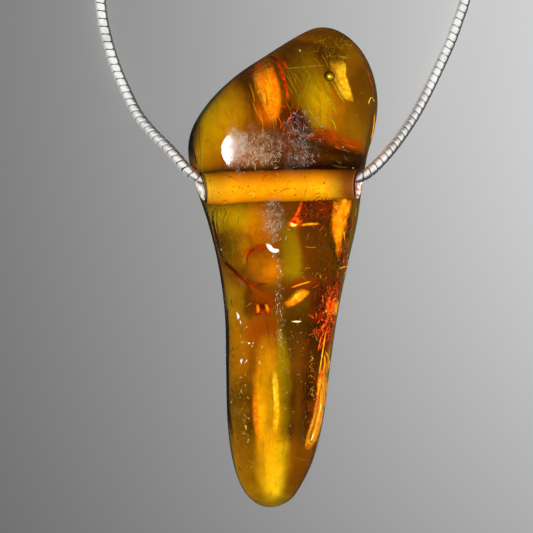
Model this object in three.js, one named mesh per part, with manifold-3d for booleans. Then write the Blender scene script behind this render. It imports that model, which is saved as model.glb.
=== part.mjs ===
// A polished amber drop, drilled across near its top and threaded on a round silver snake chain.
// It lies on its flat back: +X across the drop, +Y along it towards the broad end, +Z out of its
// front. Millimetres. The origin is under the middle of the stone, on the surface that it lies on.
import * as THREE from "three";
import { ParametricGeometry } from "three/addons/geometries/ParametricGeometry.js";
import { mergeVertices } from "three/addons/utils/BufferGeometryUtils.js";
import Module from "manifold-3d";

// Stone: where its outline and its back and front lie, from the tip to the broad end
const STONE_LENGTH = 52.8;
const STATIONS = [
  { y: -26.4, left: -1.4, right: -1.4, back: 3.3, front: 3.3 },
  { y: -25.6, left: -3.4, right: 0.85, back: 1.6, front: 5.5 },
  { y: -24.0, left: -4.6, right: 2.05, back: 0.7, front: 6.9 },
  { y: -21.0, left: -5.55, right: 3.45, back: 0.0, front: 8.1 },
  { y: -17.0, left: -6.06, right: 4.45, back: -0.3, front: 8.9 },
  { y: -11.0, left: -6.22, right: 5.22, back: -0.3, front: 9.7 },
  { y: -5.0, left: -6.36, right: 6.1, back: -0.3, front: 10.5 },
  { y: 0.5, left: -7.1, right: 7.2, back: -0.3, front: 11.2 },
  { y: 5.0, left: -8.2, right: 8.2, back: -0.3, front: 11.8 },
  { y: 9.0, left: -9.5, right: 8.75, back: -0.3, front: 12.2 },
  { y: 12.5, left: -10.35, right: 9.35, back: -0.3, front: 12.4 },
  { y: 15.0, left: -10.05, right: 10.05, back: -0.3, front: 12.3 },
  { y: 18.0, left: -8.3, right: 10.45, back: -0.2, front: 11.9 },
  { y: 21.0, left: -5.3, right: 10.05, back: 0.3, front: 11.0 },
  { y: 23.5, left: -1.6, right: 8.95, back: 1.2, front: 9.7 },
  { y: 25.4, left: 1.5, right: 7.2, back: 2.7, front: 7.9 },
  { y: 26.4, left: 4.35, right: 4.35, back: 5.2, front: 5.2 },
];
// Half of its cross-section: across from 0 to 1, up from 0 at the back to 1 at the front
const SECTION = [
  [0.0, 0.0],
  [0.6, 0.01],
  [0.9, 0.12],
  [1.0, 0.34],
  [0.955, 0.56],
  [0.865, 0.76],
  [0.68, 0.9],
  [0.38, 0.975],
  [0.0, 1.0],
];
const STONE_ROWS = 44;
const STONE_COLUMNS = 52;

// Bore through the stone, along X
const BORE_DIAMETER = 2.9;
const BORE_CENTRE = new THREE.Vector3(-0.3, 9.1, 6.9);
const BORE_TILT = THREE.MathUtils.degToRad(0.9);
const MOUTH_FLARE = 0.6; // growth of the radius for each millimetre outwards
const LEFT_FLARE_START = 8.0; // from the bore's centre
const RIGHT_FLARE_START = 8.0;
const CUTTER_REACH = 13;

// Chain
const CHAIN_DIAMETER = 1.2;
const CHAIN_SIDES = 8;
const CHAIN_STEP = 2 * CHAIN_DIAMETER;
const GAP = 0.3;
const IN_BORE = [
  [-7.6, 9.47, 6.6],
  [-4.0, 9.48, 6.6],
  [0.0, 9.56, 6.6],
  [4.0, 9.66, 6.6],
  [7.2, 9.74, 6.6],
];
const LEFT_RUN = [
  [-7.9, 9.5, 6.6],
  [-8.65, 9.63, 6.62],
  [-9.35, 9.95, 6.65],
  [-10.0, 10.4, 6.62],
  [-10.65, 11.0, 6.48],
  [-11.3, 11.75, 6.15],
  [-12.4, 13.0, 5.35],
  [-14.25, 14.85, 3.75],
  [-16.05, 17.05, 2.05],
  [-17.42, 19.72, 0.98],
  [-18.42, 22.0, 0.6],
  [-19.2, 24.3, 0.6],
  [-19.87, 26.9, 0.6],
  [-20.24, 29.5, 0.6],
  [-20.3, 32.2, 0.6],
  [-19.9, 34.9, 0.6],
  [-19.0, 37.5, 0.7],
  [-17.6, 39.9, 0.95],
];
const RIGHT_RUN = [
  [7.5, 9.76, 6.6],
  [8.3, 9.9, 6.64],
  [9.05, 10.24, 6.65],
  [9.8, 10.8, 6.55],
  [10.7, 11.68, 6.2],
  [11.75, 12.85, 5.5],
  [13.2, 14.75, 4.1],
  [14.75, 17.1, 2.45],
  [16.3, 19.98, 1.15],
  [17.81, 23.14, 0.6],
  [18.86, 25.52, 0.6],
  [19.61, 27.63, 0.6],
  [20.28, 29.6, 0.6],
  [20.7, 32.0, 0.6],
  [20.6, 35.0, 0.6],
  [19.4, 38.4, 0.6],
  [17.0, 41.8, 0.6],
  [13.8, 44.6, 0.6],
  [10.2, 46.6, 0.6],
  [6.9, 47.6, 0.6],
];
const TAIL = [
  [-2.65, 48.0, 3.75],
  [-5.4, 48.35, 2.7],
  [-8.2, 48.75, 1.5],
  [-11.0, 49.3, 0.97],
  [-13.6, 50.0, 0.95],
];

// Coil of the chain beyond the run
const COIL_CENTRE = new THREE.Vector3(2.0, 40.9, 0);
const COIL_INNER_TURN = 5.6;
const COIL_OUTER_TURN = 6.8;
const COIL_LAYERS = 4;

// End caps with an eye and a hook
const CAP_DIAMETER = 1.9;
const CAP_LENGTH = 4.2;
const CAP_SHOULDER = 0.45;
const EYE_RADIUS = 1.65;
const WIRE_DIAMETER = 1.0;
const HOOK_SHANK = 3.4;
const HOOK_RADIUS = 1.75;
const HOOK_RETURN = 2.2;
const HOOK_BEAD = 1.4;

const wasm = await Module();
wasm.setup();

const finishes = {
  amber: new THREE.MeshStandardMaterial({ color: 0xb37a08, roughness: 0.08, metalness: 0 }),
  silver: new THREE.MeshStandardMaterial({ color: 0xdddcd6, roughness: 0.22, metalness: 1 }),
};

const point = ([x, y, z]) => new THREE.Vector3(x, y, z);

// A closed geometry as a solid that can be joined and cut
function solid(geometry) {
  const bare = geometry.clone();
  bare.deleteAttribute("normal");
  bare.deleteAttribute("uv");
  const merged = mergeVertices(bare, 1e-4);
  const corners = [];
  for (let i = 0; i < merged.index.count; i += 3) {
    const [a, b, c] = [0, 1, 2].map((k) => merged.index.getX(i + k));
    if (a !== b && b !== c && c !== a) corners.push(a, b, c);
  }
  return new wasm.Manifold(
    new wasm.Mesh({
      numProp: 3,
      vertProperties: merged.attributes.position.array,
      triVerts: new Uint32Array(corners),
    }),
  );
}

// A solid as a geometry again
function geometryOf(body) {
  const made = body.getMesh();
  const geometry = new THREE.BufferGeometry();
  geometry.setAttribute("position", new THREE.BufferAttribute(made.vertProperties, 3));
  geometry.setIndex(new THREE.BufferAttribute(made.triVerts, 1));
  geometry.computeVertexNormals();
  return geometry;
}

// Stations are spaced by the angle that their height has on a circle, so both ends come out round
const angleOf = (y) => Math.acos(THREE.MathUtils.clamp((-2 * y) / STONE_LENGTH, -1, 1));
const stations = new THREE.CubicInterpolant(
  STATIONS.map((s) => angleOf(s.y)),
  STATIONS.flatMap((s) => [s.left, s.right, s.back, s.front]),
  4,
);
const halfSection = new THREE.SplineCurve(SECTION.map(([u, w]) => new THREE.Vector2(u, w)));

// A point of the stone's surface: u round the section from the back, v from the tip to the top
function stoneSurface(u, v, target) {
  const [left, right, back, front] = stations.evaluate(Math.PI * v);
  const side = u < 0.5 ? -1 : 1;
  const across = halfSection.getPoint(side < 0 ? 2 * u : 2 - 2 * u);
  const x = (left + right) / 2 + (side * across.x * (right - left)) / 2;
  const y = (-STONE_LENGTH / 2) * Math.cos(Math.PI * v);
  target.set(x, y, Math.max(0, back + across.y * (front - back)));
}

// The drill's path, with a flare worn at each mouth
function boreCutter() {
  const radius = BORE_DIAMETER / 2;
  const flared = (start) => radius + MOUTH_FLARE * (CUTTER_REACH - start);
  const profile = [
    [0, -CUTTER_REACH],
    [flared(LEFT_FLARE_START), -CUTTER_REACH],
    [radius, -LEFT_FLARE_START],
    [radius, RIGHT_FLARE_START],
    [flared(RIGHT_FLARE_START), CUTTER_REACH],
    [0, CUTTER_REACH],
  ].map(([x, y]) => new THREE.Vector2(x, y));
  const cutter = new THREE.LatheGeometry(profile, 28);
  cutter.rotateZ(-Math.PI / 2 + BORE_TILT);
  cutter.translate(...BORE_CENTRE);
  return cutter;
}

// The amber drop with its bore
function amber() {
  const stone = solid(new ParametricGeometry(stoneSurface, STONE_COLUMNS, STONE_ROWS));
  return geometryOf(stone.subtract(solid(boreCutter())));
}

// A round cord along a path
function cord(path, diameter, sides, step) {
  const round = new THREE.Shape().absarc(0, 0, diameter / 2, 0, 2 * Math.PI);
  const steps = Math.max(2, Math.round(path.getLength() / step));
  return new THREE.ExtrudeGeometry(round, {
    steps,
    extrudePath: path,
    bevelEnabled: false,
    curveSegments: sides / 2,
  });
}

const chainRun = (points) =>
  cord(new THREE.CatmullRomCurve3(points.map(point)), CHAIN_DIAMETER, CHAIN_SIDES, CHAIN_STEP);

// The outer shape of the wound chain: a ring with rounded edges
function coil() {
  const inner = COIL_INNER_TURN - CHAIN_DIAMETER / 2;
  const outer = COIL_OUTER_TURN + CHAIN_DIAMETER / 2;
  const top = COIL_LAYERS * CHAIN_DIAMETER;
  const edge = CHAIN_DIAMETER / 4;
  const profile = [
    [inner + edge, 0],
    [outer - edge, 0],
    [outer, edge],
    [outer, top - edge],
    [outer - edge, top],
    [inner + edge, top],
    [inner, top - edge],
    [inner, edge],
    [inner + edge, 0],
  ].map(([x, y]) => new THREE.Vector2(x, y));
  const ring = new THREE.LatheGeometry(profile, 36);
  ring.rotateX(Math.PI / 2);
  return ring;
}

// A turned end cap along +X from the origin, which the chain's end is soldered into
function cap() {
  const radius = CAP_DIAMETER / 2;
  const profile = [
    [0, 0],
    [radius - 0.1, 0],
    [radius, 0.12],
    [radius, CAP_LENGTH - CAP_SHOULDER],
    [radius - 0.15, CAP_LENGTH - 0.15],
    [radius - CAP_SHOULDER, CAP_LENGTH],
    [0, CAP_LENGTH],
  ].map(([x, y]) => new THREE.Vector2(x, y));
  const turned = new THREE.LatheGeometry(profile, 20);
  turned.rotateZ(-Math.PI / 2);
  return turned;
}

// The cap with a round eye soldered to its end
function eyeEnd() {
  const eye = new THREE.TorusGeometry(EYE_RADIUS, WIRE_DIAMETER / 2, 10, 28);
  eye.translate(CAP_LENGTH + EYE_RADIUS, 0, 0);
  return geometryOf(solid(cap()).add(solid(eye)));
}

// The cap with a wire hook, bent round in one plane, and the bead on the hook's tip
function hookEnd() {
  const bend = CAP_LENGTH + HOOK_SHANK;
  const arc = Array.from({ length: 9 }, (_, i) => {
    const angle = -Math.PI / 2 + (Math.PI * i) / 8;
    return point([
      bend + HOOK_RADIUS * Math.cos(angle),
      HOOK_RADIUS + HOOK_RADIUS * Math.sin(angle),
      0,
    ]);
  });
  const tip = point([bend - HOOK_RETURN, 2 * HOOK_RADIUS + 0.1, 0]);
  const path = new THREE.CatmullRomCurve3([
    point([CAP_LENGTH - 0.6, 0, 0]),
    point([CAP_LENGTH + HOOK_SHANK / 2, -0.05, 0]),
    ...arc,
    tip,
  ]);
  const wire = cord(path, WIRE_DIAMETER, 10, 0.6);
  const bead = new THREE.SphereGeometry(HOOK_BEAD / 2, 12, 8);
  bead.translate(...tip);
  return geometryOf(solid(cap()).add(solid(wire)).add(solid(bead)));
}

// Puts a piece that starts along +X at the end of a run, a gap away from it, level, along its way
function atEndOf(mesh, points) {
  const [before, last] = points.slice(-2).map(point);
  const way = last.clone().sub(before).setZ(0).normalize();
  mesh.position.copy(last).addScaledVector(way, GAP);
  mesh.rotation.z = Math.atan2(way.y, way.x);
  return mesh;
}

function part(name, geometry, finish) {
  const mesh = new THREE.Mesh(geometry, finish.clone());
  mesh.name = name;
  return mesh;
}

const pendant = new THREE.Group();
pendant.add(part("amber", amber(), finishes.amber));

const necklace = new THREE.Group();
pendant.add(necklace);
const wound = part("chain_coil", coil(), finishes.silver);
wound.position.copy(COIL_CENTRE);
necklace.add(
  part("chain_in_bore", chainRun(IN_BORE), finishes.silver),
  part("chain_left_run", chainRun(LEFT_RUN), finishes.silver),
  part("chain_right_run", chainRun(RIGHT_RUN), finishes.silver),
  wound,
  part("chain_tail", chainRun(TAIL), finishes.silver),
  atEndOf(part("eye_end", eyeEnd(), finishes.silver), LEFT_RUN),
  atEndOf(part("hook_end", hookEnd(), finishes.silver), TAIL),
);

export default pendant;
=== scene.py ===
"""A polished amber drop on a silver snake chain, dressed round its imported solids.

The drop lies on its flat back with its chain beside it, and the camera looks straight down on it.
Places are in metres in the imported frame: +X across the drop, +Y towards its broad end, +Z up.
Sizes that are easier to read in millimetres are written as a number times MM.
"""

import logging
import math
from dataclasses import dataclass
from enum import Enum
from typing import Any, Sequence

import bmesh
import bpy
import numpy as np
from mathutils import Matrix, Vector
from mathutils.kdtree import KDTree


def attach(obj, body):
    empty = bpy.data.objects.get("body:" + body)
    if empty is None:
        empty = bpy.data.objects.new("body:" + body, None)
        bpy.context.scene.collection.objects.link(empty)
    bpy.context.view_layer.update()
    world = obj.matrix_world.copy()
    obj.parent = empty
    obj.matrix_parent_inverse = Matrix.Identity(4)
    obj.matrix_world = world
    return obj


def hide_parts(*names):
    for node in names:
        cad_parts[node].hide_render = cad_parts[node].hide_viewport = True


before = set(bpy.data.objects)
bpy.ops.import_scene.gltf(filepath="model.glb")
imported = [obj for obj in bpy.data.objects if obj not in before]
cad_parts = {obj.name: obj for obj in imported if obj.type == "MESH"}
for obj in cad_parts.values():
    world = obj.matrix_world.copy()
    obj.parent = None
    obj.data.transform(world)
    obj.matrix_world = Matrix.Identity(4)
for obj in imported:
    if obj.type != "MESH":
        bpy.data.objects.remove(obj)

LOG = logging.getLogger("amber_pendant")
MM = 0.001
BODY = "root"
PHOTO_PIXELS = 533
PIXEL = 0.11 * MM  # at the height of the stone's widest level
WIDEST_LEVEL = 4.5 * MM

Colour = tuple[float, float, float, float]
Point = tuple[float, float, float]
Shape = tuple[np.ndarray, list[tuple[int, ...]], np.ndarray]  # points, faces, a value a point
Piece = bpy.types.Object
Material = bpy.types.Material


class Wire:
    """A socket whose operators add Math nodes to its tree."""

    def __init__(self, graph: "Graph", socket: bpy.types.NodeSocket) -> None:
        """Holds the socket and the graph that it is in."""
        self.graph = graph
        self.socket = socket

    def math(self, operation: str, *others: "Wire | float") -> "Wire":
        """A Math node's result, with this socket as its first value."""
        sockets = {0: self, **{i + 1: other for i, other in enumerate(others)}}
        return self.graph.out("ShaderNodeMath", 0, {"operation": operation}, sockets)

    def __add__(self, other: "Wire | float") -> "Wire":
        """self + other."""
        return self.math("ADD", other)

    def __mul__(self, other: "Wire | float") -> "Wire":
        """self * other."""
        return self.math("MULTIPLY", other)

    def __sub__(self, other: "Wire | float") -> "Wire":
        """self - other."""
        return self.math("SUBTRACT", other)

    def __rsub__(self, other: float) -> "Wire":
        """other - self, for a number."""
        return self.math("MULTIPLY", -1.0).math("ADD", other)

    __radd__ = __add__
    __rmul__ = __mul__


class Graph:
    """A node tree that is being built, for a material or for Geometry Nodes."""

    def __init__(self, tree: bpy.types.NodeTree) -> None:
        """Starts from a tree, which may be empty."""
        self.tree = tree

    def node(
        self,
        kind: str,
        settings: dict[str, Any] | None = None,
        sockets: dict[str | int, Any] | None = None,
    ) -> bpy.types.Node:
        """Adds one node.

        Args:
            kind: the node's type, such as ShaderNodeTexNoise.
            settings: its properties, or "stops" for a ramp's (place, colour) pairs, set first.
            sockets: values or wires for its inputs, by name or index.

        Returns:
            The new node.
        """
        made = self.tree.nodes.new(kind)
        for name, value in (settings or {}).items():
            if name == "stops":
                self.fill_ramp(made.color_ramp, value)
            else:
                setattr(made, name, value)
        for name, value in (sockets or {}).items():
            if isinstance(value, Wire):
                self.tree.links.new(value.socket, made.inputs[name])
            else:
                made.inputs[name].default_value = value
        return made

    @staticmethod
    def fill_ramp(ramp: bpy.types.ColorRamp, stops: Sequence[tuple[float, Colour]]) -> None:
        """Gives a colour ramp its stops.

        Args:
            ramp: the ramp.
            stops: its (place, colour) pairs, in order.
        """
        while len(ramp.elements) < len(stops):
            ramp.elements.new(1.0)
        for element, (place, colour) in zip(ramp.elements, stops):
            element.position = place
            element.color = colour

    def out(
        self,
        kind: str,
        output: str | int,
        settings: dict[str, Any] | None = None,
        sockets: dict[str | int, Any] | None = None,
    ) -> Wire:
        """Adds a node as node() does and returns one of its outputs."""
        return Wire(self, self.node(kind, settings, sockets).outputs[output])

    def mix(self, factor: Wire | float, first: Wire | Colour, second: Wire | Colour) -> Wire:
        """A colour between two, by a factor from 0 to 1."""
        settings = {"data_type": "RGBA", "clamp_factor": True}
        return self.out("ShaderNodeMix", 2, settings, {0: factor, 6: first, 7: second})

    def vector(self, operation: str, *values: Any, output: str | int = 0) -> Wire:
        """A Vector Math node's result."""
        return self.out(
            "ShaderNodeVectorMath", output, {"operation": operation}, dict(enumerate(values))
        )

    def scaled(self, value: Wire, factor: float) -> Wire:
        """A vector times a number."""
        return self.vector("MULTIPLY", value, (factor, factor, factor))

    def place(self) -> Wire:
        """Object coordinates, in metres."""
        return self.out("ShaderNodeTexCoord", "Object")

    def coordinate(self, axis: str) -> Wire:
        """One of the Object coordinates, by its letter."""
        return self.out("ShaderNodeSeparateXYZ", axis, None, {"Vector": self.place()})

    def attribute(self, name: str) -> Wire:
        """The value that a mesh keeps for each of its points."""
        return self.out("ShaderNodeAttribute", "Fac", {"attribute_name": name})

    def noise(self, scale: float, detail: float = 2.0, where: Wire | None = None) -> Wire:
        """A noise value about 0.5, at so many features a metre."""
        sockets = {"Vector": where or self.place(), "Scale": scale, "Detail": detail}
        return self.out("ShaderNodeTexNoise", "Fac", None, sockets)

    def step(self, value: Wire, low: float, high: float) -> Wire:
        """0 below low and 1 above high, with a smooth rise between."""
        settings = {"interpolation_type": "SMOOTHSTEP"}
        sockets = {"Value": value, "From Min": low, "From Max": high}
        return self.out("ShaderNodeMapRange", 0, settings, sockets)

    def cracks(self, scale: float, where: Wire | None = None) -> Wire:
        """1 on the lines between uneven cells, at so many cells a metre, and 0 inside them."""
        cells = self.out("ShaderNodeTexVoronoi", "Distance", {"feature": "DISTANCE_TO_EDGE"},
                         {"Vector": where or self.place(), "Scale": scale})
        return 1.0 - self.step(cells, 0.0, 0.05)

    def bump(self, strength: float, distance: float, height: Wire) -> Wire:
        """A normal that leans as a height rises and falls."""
        sockets = {"Strength": strength, "Distance": distance, "Height": height}
        return self.out("ShaderNodeBump", 0, None, sockets)

    def principled(self, colour: Wire | Colour, roughness: Wire | float, **others: Any) -> Wire:
        """A Principled shader; its other sockets are named with _ for each space."""
        sockets = {name.replace("_", " "): value for name, value in others.items()}
        sockets |= {"Base Color": colour, "Roughness": roughness}
        return self.out("ShaderNodeBsdfPrincipled", 0, None, sockets)

    def blend(self, factor: Wire, first: Wire, second: Wire) -> Wire:
        """A shader between two, by a factor from 0 to 1."""
        return self.out("ShaderNodeMixShader", 0, None, {0: factor, 1: first, 2: second})


@dataclass(frozen=True)
class Finish:
    """A named material; a subclass says how its nodes go."""

    name: str

    def surface(self, graph: Graph) -> Wire:
        """Adds the surface's nodes and returns their last output."""
        raise NotImplementedError

    def volume(self, graph: Graph) -> Wire | None:
        """Adds the nodes of what fills the piece, where something does."""
        return None

    def build(self) -> Material:
        """Makes the material."""
        material = bpy.data.materials.new(self.name)
        material.use_nodes = True
        material.node_tree.nodes.clear()
        graph = Graph(material.node_tree)
        parts = {"Surface": self.surface(graph), "Volume": self.volume(graph)}
        graph.node("ShaderNodeOutputMaterial", None,
                   {part: wire for part, wire in parts.items() if wire is not None})
        return material


@dataclass(frozen=True)
class SilverFinish(Finish):
    """Bright silver with fine rubbing marks and patches of duller grey."""

    name: str = "silver"
    colour: Colour = (0.90, 0.89, 0.86, 1.0)
    worn: Colour = (0.72, 0.71, 0.69, 1.0)
    roughness: float = 0.36

    def surface(self, graph: Graph) -> Wire:
        """Silver's nodes."""
        rubbed = graph.noise(2600.0, 4.0)
        colour = graph.mix(graph.step(graph.noise(420.0), 0.45, 0.75), self.colour, self.worn)
        return graph.principled(colour, self.roughness + rubbed * 0.12, Metallic=1.0,
                                Normal=graph.bump(0.12, 0.02 * MM, rubbed))


@dataclass(frozen=True)
class FloorFinish(Finish):
    """A plain pale matt surface."""

    name: str = "floor"
    colour: Colour = (0.34, 0.34, 0.34, 1.0)

    def surface(self, graph: Graph) -> Wire:
        """The floor's nodes."""
        return graph.principled(self.colour, 0.9)


@dataclass(frozen=True)
class AmberFinish(Finish):
    """Clear polished amber: plain glass with absorption, and fine scratches on its skin."""

    name: str = "amber"
    ior: float = 1.54
    absorbed: Colour = (0.98, 0.855, 0.05, 1.0)
    density: float = 650.0
    scratch_colour: Colour = (0.82, 0.63, 0.42, 1.0)
    slants: tuple[float, ...] = (0.3, -0.45, 1.1, -1.3)
    hair_scale: float = 7000.0
    rubbed: tuple[tuple[float, float, float, float, float], ...] = (
        # x, y, half width and half height in millimetres, and strength
        (-2.9, 12.9, 2.6, 2.3, 0.8),
        (-5.0, 13.0, 1.3, 2.6, 0.6),
        (1.5, 13.2, 2.2, 3.2, 0.35),
        (-1.0, 5.4, 1.4, 2.3, 0.55),
    )

    def rubbing(self, graph: Graph) -> Wire:
        """How rubbed the skin is, from 0 to about 1, in a few places on the front."""
        where = graph.place()
        ragged = (graph.noise(900.0, 5.0) - 0.5) * 1.3
        total: Wire | float = 0.0
        for x, y, half_x, half_y, strength in self.rubbed:
            offset = graph.vector("SUBTRACT", where, (x * MM, y * MM, 0.0))
            flat = graph.vector("MULTIPLY", offset, (1 / (half_x * MM), 1 / (half_y * MM), 0.0))
            reach = graph.vector("LENGTH", flat, output=1) + ragged
            total = total + (1.0 - graph.step(reach, 0.4, 1.2)) * strength
        return total * graph.step(graph.coordinate("Z"), 5.0 * MM, 7.0 * MM)

    def scratches(self, graph: Graph, rubbed: Wire) -> Wire:
        """Short curved hairlines in the rubbed places, and a few elsewhere.

        Args:
            graph: the material's graph.
            rubbed: how rubbed the skin is.

        Returns:
            How much of the skin they cover, from 0 to about 1.
        """
        where = graph.place()
        bend = graph.out("ShaderNodeTexNoise", "Color", None, {"Vector": where, "Scale": 700.0})
        curled = graph.vector("ADD", where, graph.scaled(bend, 0.9 * MM))
        hairs: Wire | float = 0.0
        for slant in self.slants:
            turned = graph.out("ShaderNodeMapping", 0, {"vector_type": "POINT"}, {
                "Vector": curled, "Rotation": (0.0, 0.0, slant), "Scale": (1.0, 0.24, 0.3)})
            hairs = hairs + graph.step(graph.noise(self.hair_scale, 2.0, turned), 0.60, 0.72)
        haze = graph.step(graph.noise(1500.0, 5.0), 0.35, 0.7) * 0.30
        few = graph.step(graph.noise(300.0, 3.0), 0.56, 0.72) * 0.12
        return rubbed * (hairs * 0.55 + haze) + few * hairs * 0.5

    def surface(self, graph: Graph) -> Wire:
        """Amber's nodes: glass, dulled where it is rubbed, that casts only a thin shadow."""
        rubbed = self.rubbing(graph)
        waves = graph.bump(0.25, 0.06 * MM, graph.noise(420.0, 3.0))
        clear = graph.principled((1.0, 1.0, 1.0, 1.0), rubbed * 0.20 + 0.03, IOR=self.ior,
                                 Transmission_Weight=1.0, Normal=waves)
        rough = graph.principled(self.scratch_colour, 0.5)
        scratched = self.scratches(graph, rubbed).math("MINIMUM", 0.62)
        thin = graph.out("ShaderNodeBsdfTransparent", 0, None, {"Color": (0.9, 0.9, 0.9, 1.0)})
        shadow = graph.out("ShaderNodeLightPath", "Is Shadow Ray")
        return graph.blend(shadow, graph.blend(scratched, clear, rough), thin)

    def volume(self, graph: Graph) -> Wire:
        """What the amber swallows of the light that crosses it."""
        return graph.out("ShaderNodeVolumeAbsorption", 0, None,
                         {"Color": self.absorbed, "Density": self.density})


def new_piece(name: str, data: bpy.types.ID) -> Piece:
    """Links an object of that data into the scene."""
    piece = bpy.data.objects.new(name, data)
    bpy.context.scene.collection.objects.link(piece)
    return piece


def mesh_piece(name: str, points: np.ndarray, faces: Sequence[Sequence[int]],
               finish: Material) -> Piece:
    """A smooth mesh object from points and faces.

    Args:
        name: the piece's name.
        points: rows of x, y and z.
        faces: rows of point numbers.
        finish: its material.

    Returns:
        The object, at the origin.
    """
    mesh = bpy.data.meshes.new(name)
    mesh.from_pydata([tuple(p) for p in points], [], [tuple(f) for f in faces])
    mesh.materials.append(finish)
    mesh.polygons.foreach_set("use_smooth", [True] * len(mesh.polygons))
    mesh.validate()
    return new_piece(name, mesh)


def solid_piece(name: str, shape: Shape, finish: Material, place: Matrix = Matrix.Identity(4),
                attribute: str = "") -> Piece:
    """A closed piece whose faces point outwards.

    Args:
        name: the piece's name.
        shape: its points, its faces and a value for each point.
        finish: its material.
        place: where its mesh goes.
        attribute: the name that the mesh keeps the values under, if it keeps them.

    Returns:
        The object, at the origin.
    """
    points, faces, values = shape
    piece = mesh_piece(name, points, faces, finish)
    if attribute:
        kept = piece.data.attributes.new(attribute, "FLOAT", "POINT")
        kept.data.foreach_set("value", values)
    piece.data.transform(place)
    work = bmesh.new()
    work.from_mesh(piece.data)
    bmesh.ops.remove_doubles(work, verts=work.verts, dist=1e-7)
    bmesh.ops.recalc_face_normals(work, faces=work.faces)
    work.to_mesh(piece.data)
    work.free()
    return piece


def evaluated_mesh(piece: Piece, name: str) -> Piece:
    """Turns what a piece's modifiers make into a plain mesh piece, and removes the first one.

    Args:
        piece: the piece with its modifiers, which is used up.
        name: the new piece's name.

    Returns:
        The new piece.
    """
    graph = bpy.context.evaluated_depsgraph_get()
    mesh = bpy.data.meshes.new_from_object(piece.evaluated_get(graph))
    mesh.name = name
    made = new_piece(name, mesh)
    bpy.data.objects.remove(piece)
    return made


def carved(piece: Piece, tool: Piece, operation: str, name: str) -> Piece:
    """What a boolean with a tool leaves of a piece.

    Args:
        piece: the piece, which is used up.
        tool: the closed shape that cuts or trims it, used up too.
        operation: DIFFERENCE or INTERSECT.
        name: the new piece's name.

    Returns:
        The carved piece, as a plain mesh.
    """
    cut = piece.modifiers.new("cut", "BOOLEAN")
    cut.operation = operation
    cut.solver = "EXACT"
    cut.material_mode = "TRANSFER"
    cut.object = tool
    made = evaluated_mesh(piece, name)
    bpy.data.objects.remove(tool)
    return made


def round_angles(count: int) -> np.ndarray:
    """Even angles round a circle."""
    return 2 * math.pi * np.arange(count) / count


def lathe(profile: Sequence[Sequence[float]], sides: int) -> np.ndarray:
    """Rings about the X axis, one for each place along it and radius.

    Args:
        profile: rows of place along the axis and radius.
        sides: how many points a ring has.

    Returns:
        The rings' points, ring by ring.
    """
    angle = round_angles(sides)
    return np.array([np.column_stack([np.full(sides, x), r * np.cos(angle), r * np.sin(angle)])
                     for x, r in profile])


def tube_mesh(rings: np.ndarray, fade: Sequence[float] = (0.0,),
              ends: np.ndarray | None = None) -> Shape:
    """A closed skin over rings of equal count, with a point at each end.

    Args:
        rings: the rings' points, ring by ring.
        fade: how near a rim each point of a ring is, or each point of every ring.
        ends: the two end points, where they are not the middles of the end rings.

    Returns:
        Its points, its faces and each point's fade.
    """
    count, n = rings.shape[:2]
    if ends is None:
        ends = rings[[0, -1]].mean(axis=1)
    first, last = count * n, count * n + 1
    faces: list[tuple[int, ...]] = []
    for j in range(n):
        k = (j + 1) % n
        faces.append((first, k, j))
        faces.append((last, (count - 1) * n + j, (count - 1) * n + k))
        for i in range(count - 1):
            faces.append((i * n + j, i * n + k, (i + 1) * n + k, (i + 1) * n + j))
    spread = np.resize(np.array(fade, float), count * n)
    spread = np.concatenate([spread, [spread[:n].mean(), spread[-n:].mean()]])
    return np.vstack([rings.reshape(-1, 3), ends]), faces, spread


def loop_mesh(rings: np.ndarray) -> Shape:
    """A closed skin over rings of equal count, the last of them joined to the first.

    Args:
        rings: the rings' points, ring by ring.

    Returns:
        Its points, its faces and a fade of 0 for each point.
    """
    count, n = rings.shape[:2]
    faces = [(i * n + j, i * n + (j + 1) % n, (i + 1) % count * n + (j + 1) % n,
              (i + 1) % count * n + j) for i in range(count) for j in range(n)]
    return rings.reshape(-1, 3), faces, np.zeros(count * n)


def ball(place: np.ndarray, radius: float, rings: int, sides: int, height: float = 1.0) -> Shape:
    """A ball whose fade falls from 1 at its equator towards its poles.

    Args:
        place: its middle.
        radius: its radius.
        rings: how many rings it has from pole to pole.
        sides: how many faces go round.
        height: its height for a width of 1.

    Returns:
        Its points, its faces and each point's fade.
    """
    slope = np.linspace(0, math.pi, rings + 2)[1:-1, None]
    angle = round_angles(sides)
    skin = [np.sin(slope) * np.cos(angle), np.sin(slope) * np.sin(angle),
            -height * np.cos(slope) * np.ones(sides)]
    return tube_mesh(place + radius * np.stack(skin, axis=2), np.repeat(np.sin(slope), sides))


def round_rings(line: np.ndarray, radius: float, sides: int) -> np.ndarray:
    """Rings square to a line, with as little twist as its bends allow.

    Args:
        line: rows of x, y and z.
        radius: the rings' radius.
        sides: how many points a ring has.

    Returns:
        The rings' points, ring by ring.
    """
    way = np.gradient(line, axis=0)
    way /= np.linalg.norm(way, axis=1)[:, None]
    side = np.cross(way[0], (0.0, 0.0, 1.0) if abs(way[0][2]) < 0.9 else (1.0, 0.0, 0.0))
    rings = []
    angle = round_angles(sides)
    for point, along in zip(line, way):
        side = side - along * (side @ along)
        side = side / np.linalg.norm(side)
        up = np.cross(along, side)
        rings.append(point + radius * (np.outer(np.cos(angle), side) + np.outer(np.sin(angle), up)))
    return np.array(rings)


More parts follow.
